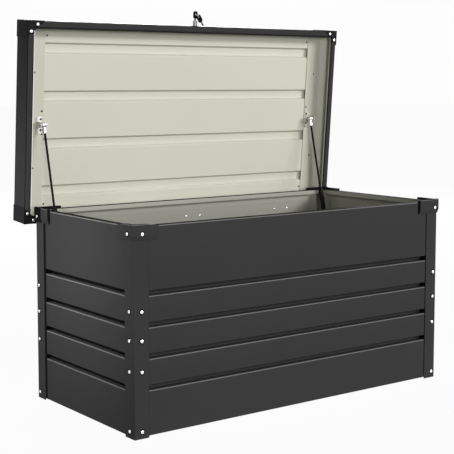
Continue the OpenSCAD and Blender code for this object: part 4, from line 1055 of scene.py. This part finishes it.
def makeLock():
    x, z = lock["x"], lock["z"]
    barrelRows = [(4.05, 14.2), (5.6, 14), (6, 14.5), (6, 30.7), (7, 30.7), (7, 33.6),
                  (6.6, 34), (6.6, 34.9), (7, 35.3), (7, 44.6), (6.7, 45), (6.7, 45.8),
                  (7, 46.2), (6.9, 47.2), (6.2, 48), (4.5, 48), (4.05, 47.5)]
    sealRows = [(6.05, 29.5), (9.3, 29.5), (9.5, 29.8), (9.2, 30.5), (8.6, 30.7), (6.05, 30.7)]
    for name, rows, coat, slot, node in (
            ("lockTube", barrelRows, "lockMetal", "lock_metal", "lock_barrel"),
            ("lockSeal", sealRows, "rubber", "black_plastic", "lock_washer")):
        part = spun(rows, (x, 0, z), outward["front"], 40, ring=True)
        buildPiece(name, [part], "lid", coat, slot, [node])
    # Distances along the inserted key's shank, and half its width at each
    n = np.array([32, 32.4, 47.9, 48, 48.4, 53.6, 54.4, 54.6])[:, None]
    half = np.array([2.7, 3, 3, 3, 3, 3, 3, 2.8])[:, None, None]
    row = boxSection((-1, -1), (1, 1), 0.3)
    spot = row * half * (1, 1 / 3)
    buildPiece("keyShank", [tube(joined(x + spot[..., 0], -n, z + spot[..., 1]))], "key_plug",
               "keySteel", "key_steel", ["key_blade"])
    hole, spareHole, bow = np.array(lock["hole"]), np.array(lock["spareHole"]), (0, lock["bow"])
    way = lock["slotEnd"] - hole
    slot = {"middle": hole + way / 2 - bow, "corner": lock["slot"],
            "half": (lock["slot"], np.hypot(*way) / 2 + lock["slot"]), "turn": math.atan2(*way)}
    part = bowPlate(keyOutline, slot, onBow(bow, 0))
    buildPiece("keyHandle", [part], "key_plug", "blackPlastic", "bow_plastic", ["key_bow"])
    toLid = onBow(spareHole, lock["apart"], lock["spareTurn"])
    part = bowPlate(spareOutline, spareSlot, toLid)
    buildPiece("spareHandle", [part], "spare_key", "blackPlastic", "bow_plastic", ["spare_bow"])
    # The same for the spare key, with the depth that its teeth are cut to
    v = np.array([19.6, 20, 20.6, 23, 24, 25, 26.4, 27.6, 29, 30, 31.2, 33.6, 34.8, 35.4])
    cut = np.array([0, 0, 0, 0, 0.7, 0.1, 0.1, 0.9, 0.2, 0.2, 0.8, 0.1, 0.5, 1.3])[:, None]
    wide = lock["blade"]
    wide = np.minimum(row[:, 0], 0) * wide + np.maximum(row[:, 0], 0) * (wide - cut)
    buildPiece("spareShank", [tube(toLid(wide, v[:, None], row[:, 1]))], "spare_key", "keySteel",
               "key_steel", ["spare_blade"])
    turn, angle = fullTurn(48)[:, None], fullTurn(12)[None, :]
    far, b = lock["ring"] + lock["wire"] * np.cos(angle), lock["wire"] * np.sin(angle)
    a, w, lean = far * np.cos(turn), far * np.sin(turn), math.radians(lock["lean"])
    toLid = onBow((hole + spareHole) / 2, lock["apart"] / 2)
    spot = toLid(a * math.cos(lean) - b * math.sin(lean),
                 a * math.sin(lean) + b * math.cos(lean), w)
    buildPiece("keyLoop", [tube(spot, True)], "spare_key", "brightFitting", "bright_fitting",
               ["key_ring"])


makeLock()
print("lock and keys in")

stageLook = {"reach": 40, "glow": 0.94, "light": 1.02, "paint": 0.36, "dim": 0.06,
             "white": 0.985}


def emptyTree(owner):
    owner.use_nodes = True
    owner.node_tree.nodes.clear()
    return owner.node_tree


# 1 for rays from the camera or a glossy or clear surface, 0 for the light that falls on things
def seenDirectly(tree):
    ray = addNode(tree, "ShaderNodeLightPath").outputs
    seen = ray["Is Camera Ray"]
    for label in ("Is Glossy Ray", "Is Transmission Ray"):
        seen = addNode(tree, "ShaderNodeMath", {0: seen, 1: ray[label]},
                       operation="MAXIMUM").outputs[0]
    return seen


# Ground that looks evenly white, yet takes the box's shadow
def buildStage():
    mesh = bpy.data.meshes.new("ground")
    r = stageLook["reach"]
    mesh.from_pydata([(-r, -r, 0), (r, -r, 0), (r, r, 0), (-r, r, 0)], [], [(0, 1, 2, 3)])
    ground = addObject("ground", mesh)
    material = bpy.data.materials.new("studioFloor")
    tree = emptyTree(material)
    share = addNode(tree, "ShaderNodeMath", {0: seenDirectly(tree)}, operation="MULTIPLY",
                    inputs={1: stageLook["glow"]})
    paint = addNode(tree, "ShaderNodeBsdfDiffuse",
                    inputs={"Color": (*[stageLook["paint"]] * 3, 1)})
    glow = addNode(tree, "ShaderNodeEmission", inputs={"Strength": stageLook["light"]})
    mixed = addNode(tree, "ShaderNodeMixShader",
                    {0: share.outputs[0], 1: paint.outputs[0], 2: glow.outputs[0]})
    addNode(tree, "ShaderNodeOutputMaterial", {"Surface": mixed.outputs[0]})
    mesh.materials.append(material)


buildStage()

world = bpy.data.worlds.new("studio")
bpy.context.scene.world = world
tree = emptyTree(world)
dim, white = (addNode(tree, "ShaderNodeBackground",
                      inputs={"Color": (1, 1, 1, 1), "Strength": stageLook[name]}).outputs[0]
              for name in ("dim", "white"))
mixed = addNode(tree, "ShaderNodeMixShader", {0: seenDirectly(tree), 1: dim, 2: white})
addNode(tree, "ShaderNodeOutputWorld", {"Surface": mixed.outputs[0]})


# Rectangular lamp that looks at a point; spread is the full angle of its beam, in degrees
def addLamp(name, at, aim, size, power, spread=180):
    lamp = bpy.data.lights.new(name, "AREA")
    lamp.energy, lamp.spread = power, math.radians(spread)
    lamp.shape, lamp.size, lamp.size_y = "RECTANGLE", *size
    holder = addObject(name, lamp)
    holder.location = at
    step = np.array(aim, float) - np.array(at, float)
    holder.rotation_euler = (math.acos(-step[2] / np.linalg.norm(step)), 0,
                             math.atan2(-step[0], step[1]))


lamps = {
    "key": {"at": (13.3, -18.2, 8.8), "aim": (0, 0, 0.6), "size": (12.0, 4.5), "power": 4300},
    "fill": {"at": (-6.0, -14.8, 2.2), "aim": (0, 0, 0.6), "size": (4.0, 3.0), "power": 1000},
    "left": {"at": (-3.0, -0.3, 2.3), "aim": (-0.57, 0.0, 0.46), "size": (0.3, 0.3),
             "power": 2.0, "spread": 21},
    "back": {"at": (3.0, 5.5, 2.4), "aim": (0, 0.2, 0.6), "size": (2.8, 1.6), "power": 440},
}
for name, lamp in lamps.items():
    addLamp(name, **lamp)
bpy.context.scene.view_settings.view_transform = "Standard"
print("studio lit")

plain = {"lock_nut": "lockMetal", "lock_plug": "lockMetal", "lock_cam": "zincSteel"}
for name, coat in plain.items():
    mesh = frame["nodes"][name].data
    mesh.materials.clear()
    mesh.materials.append(coats[coat])
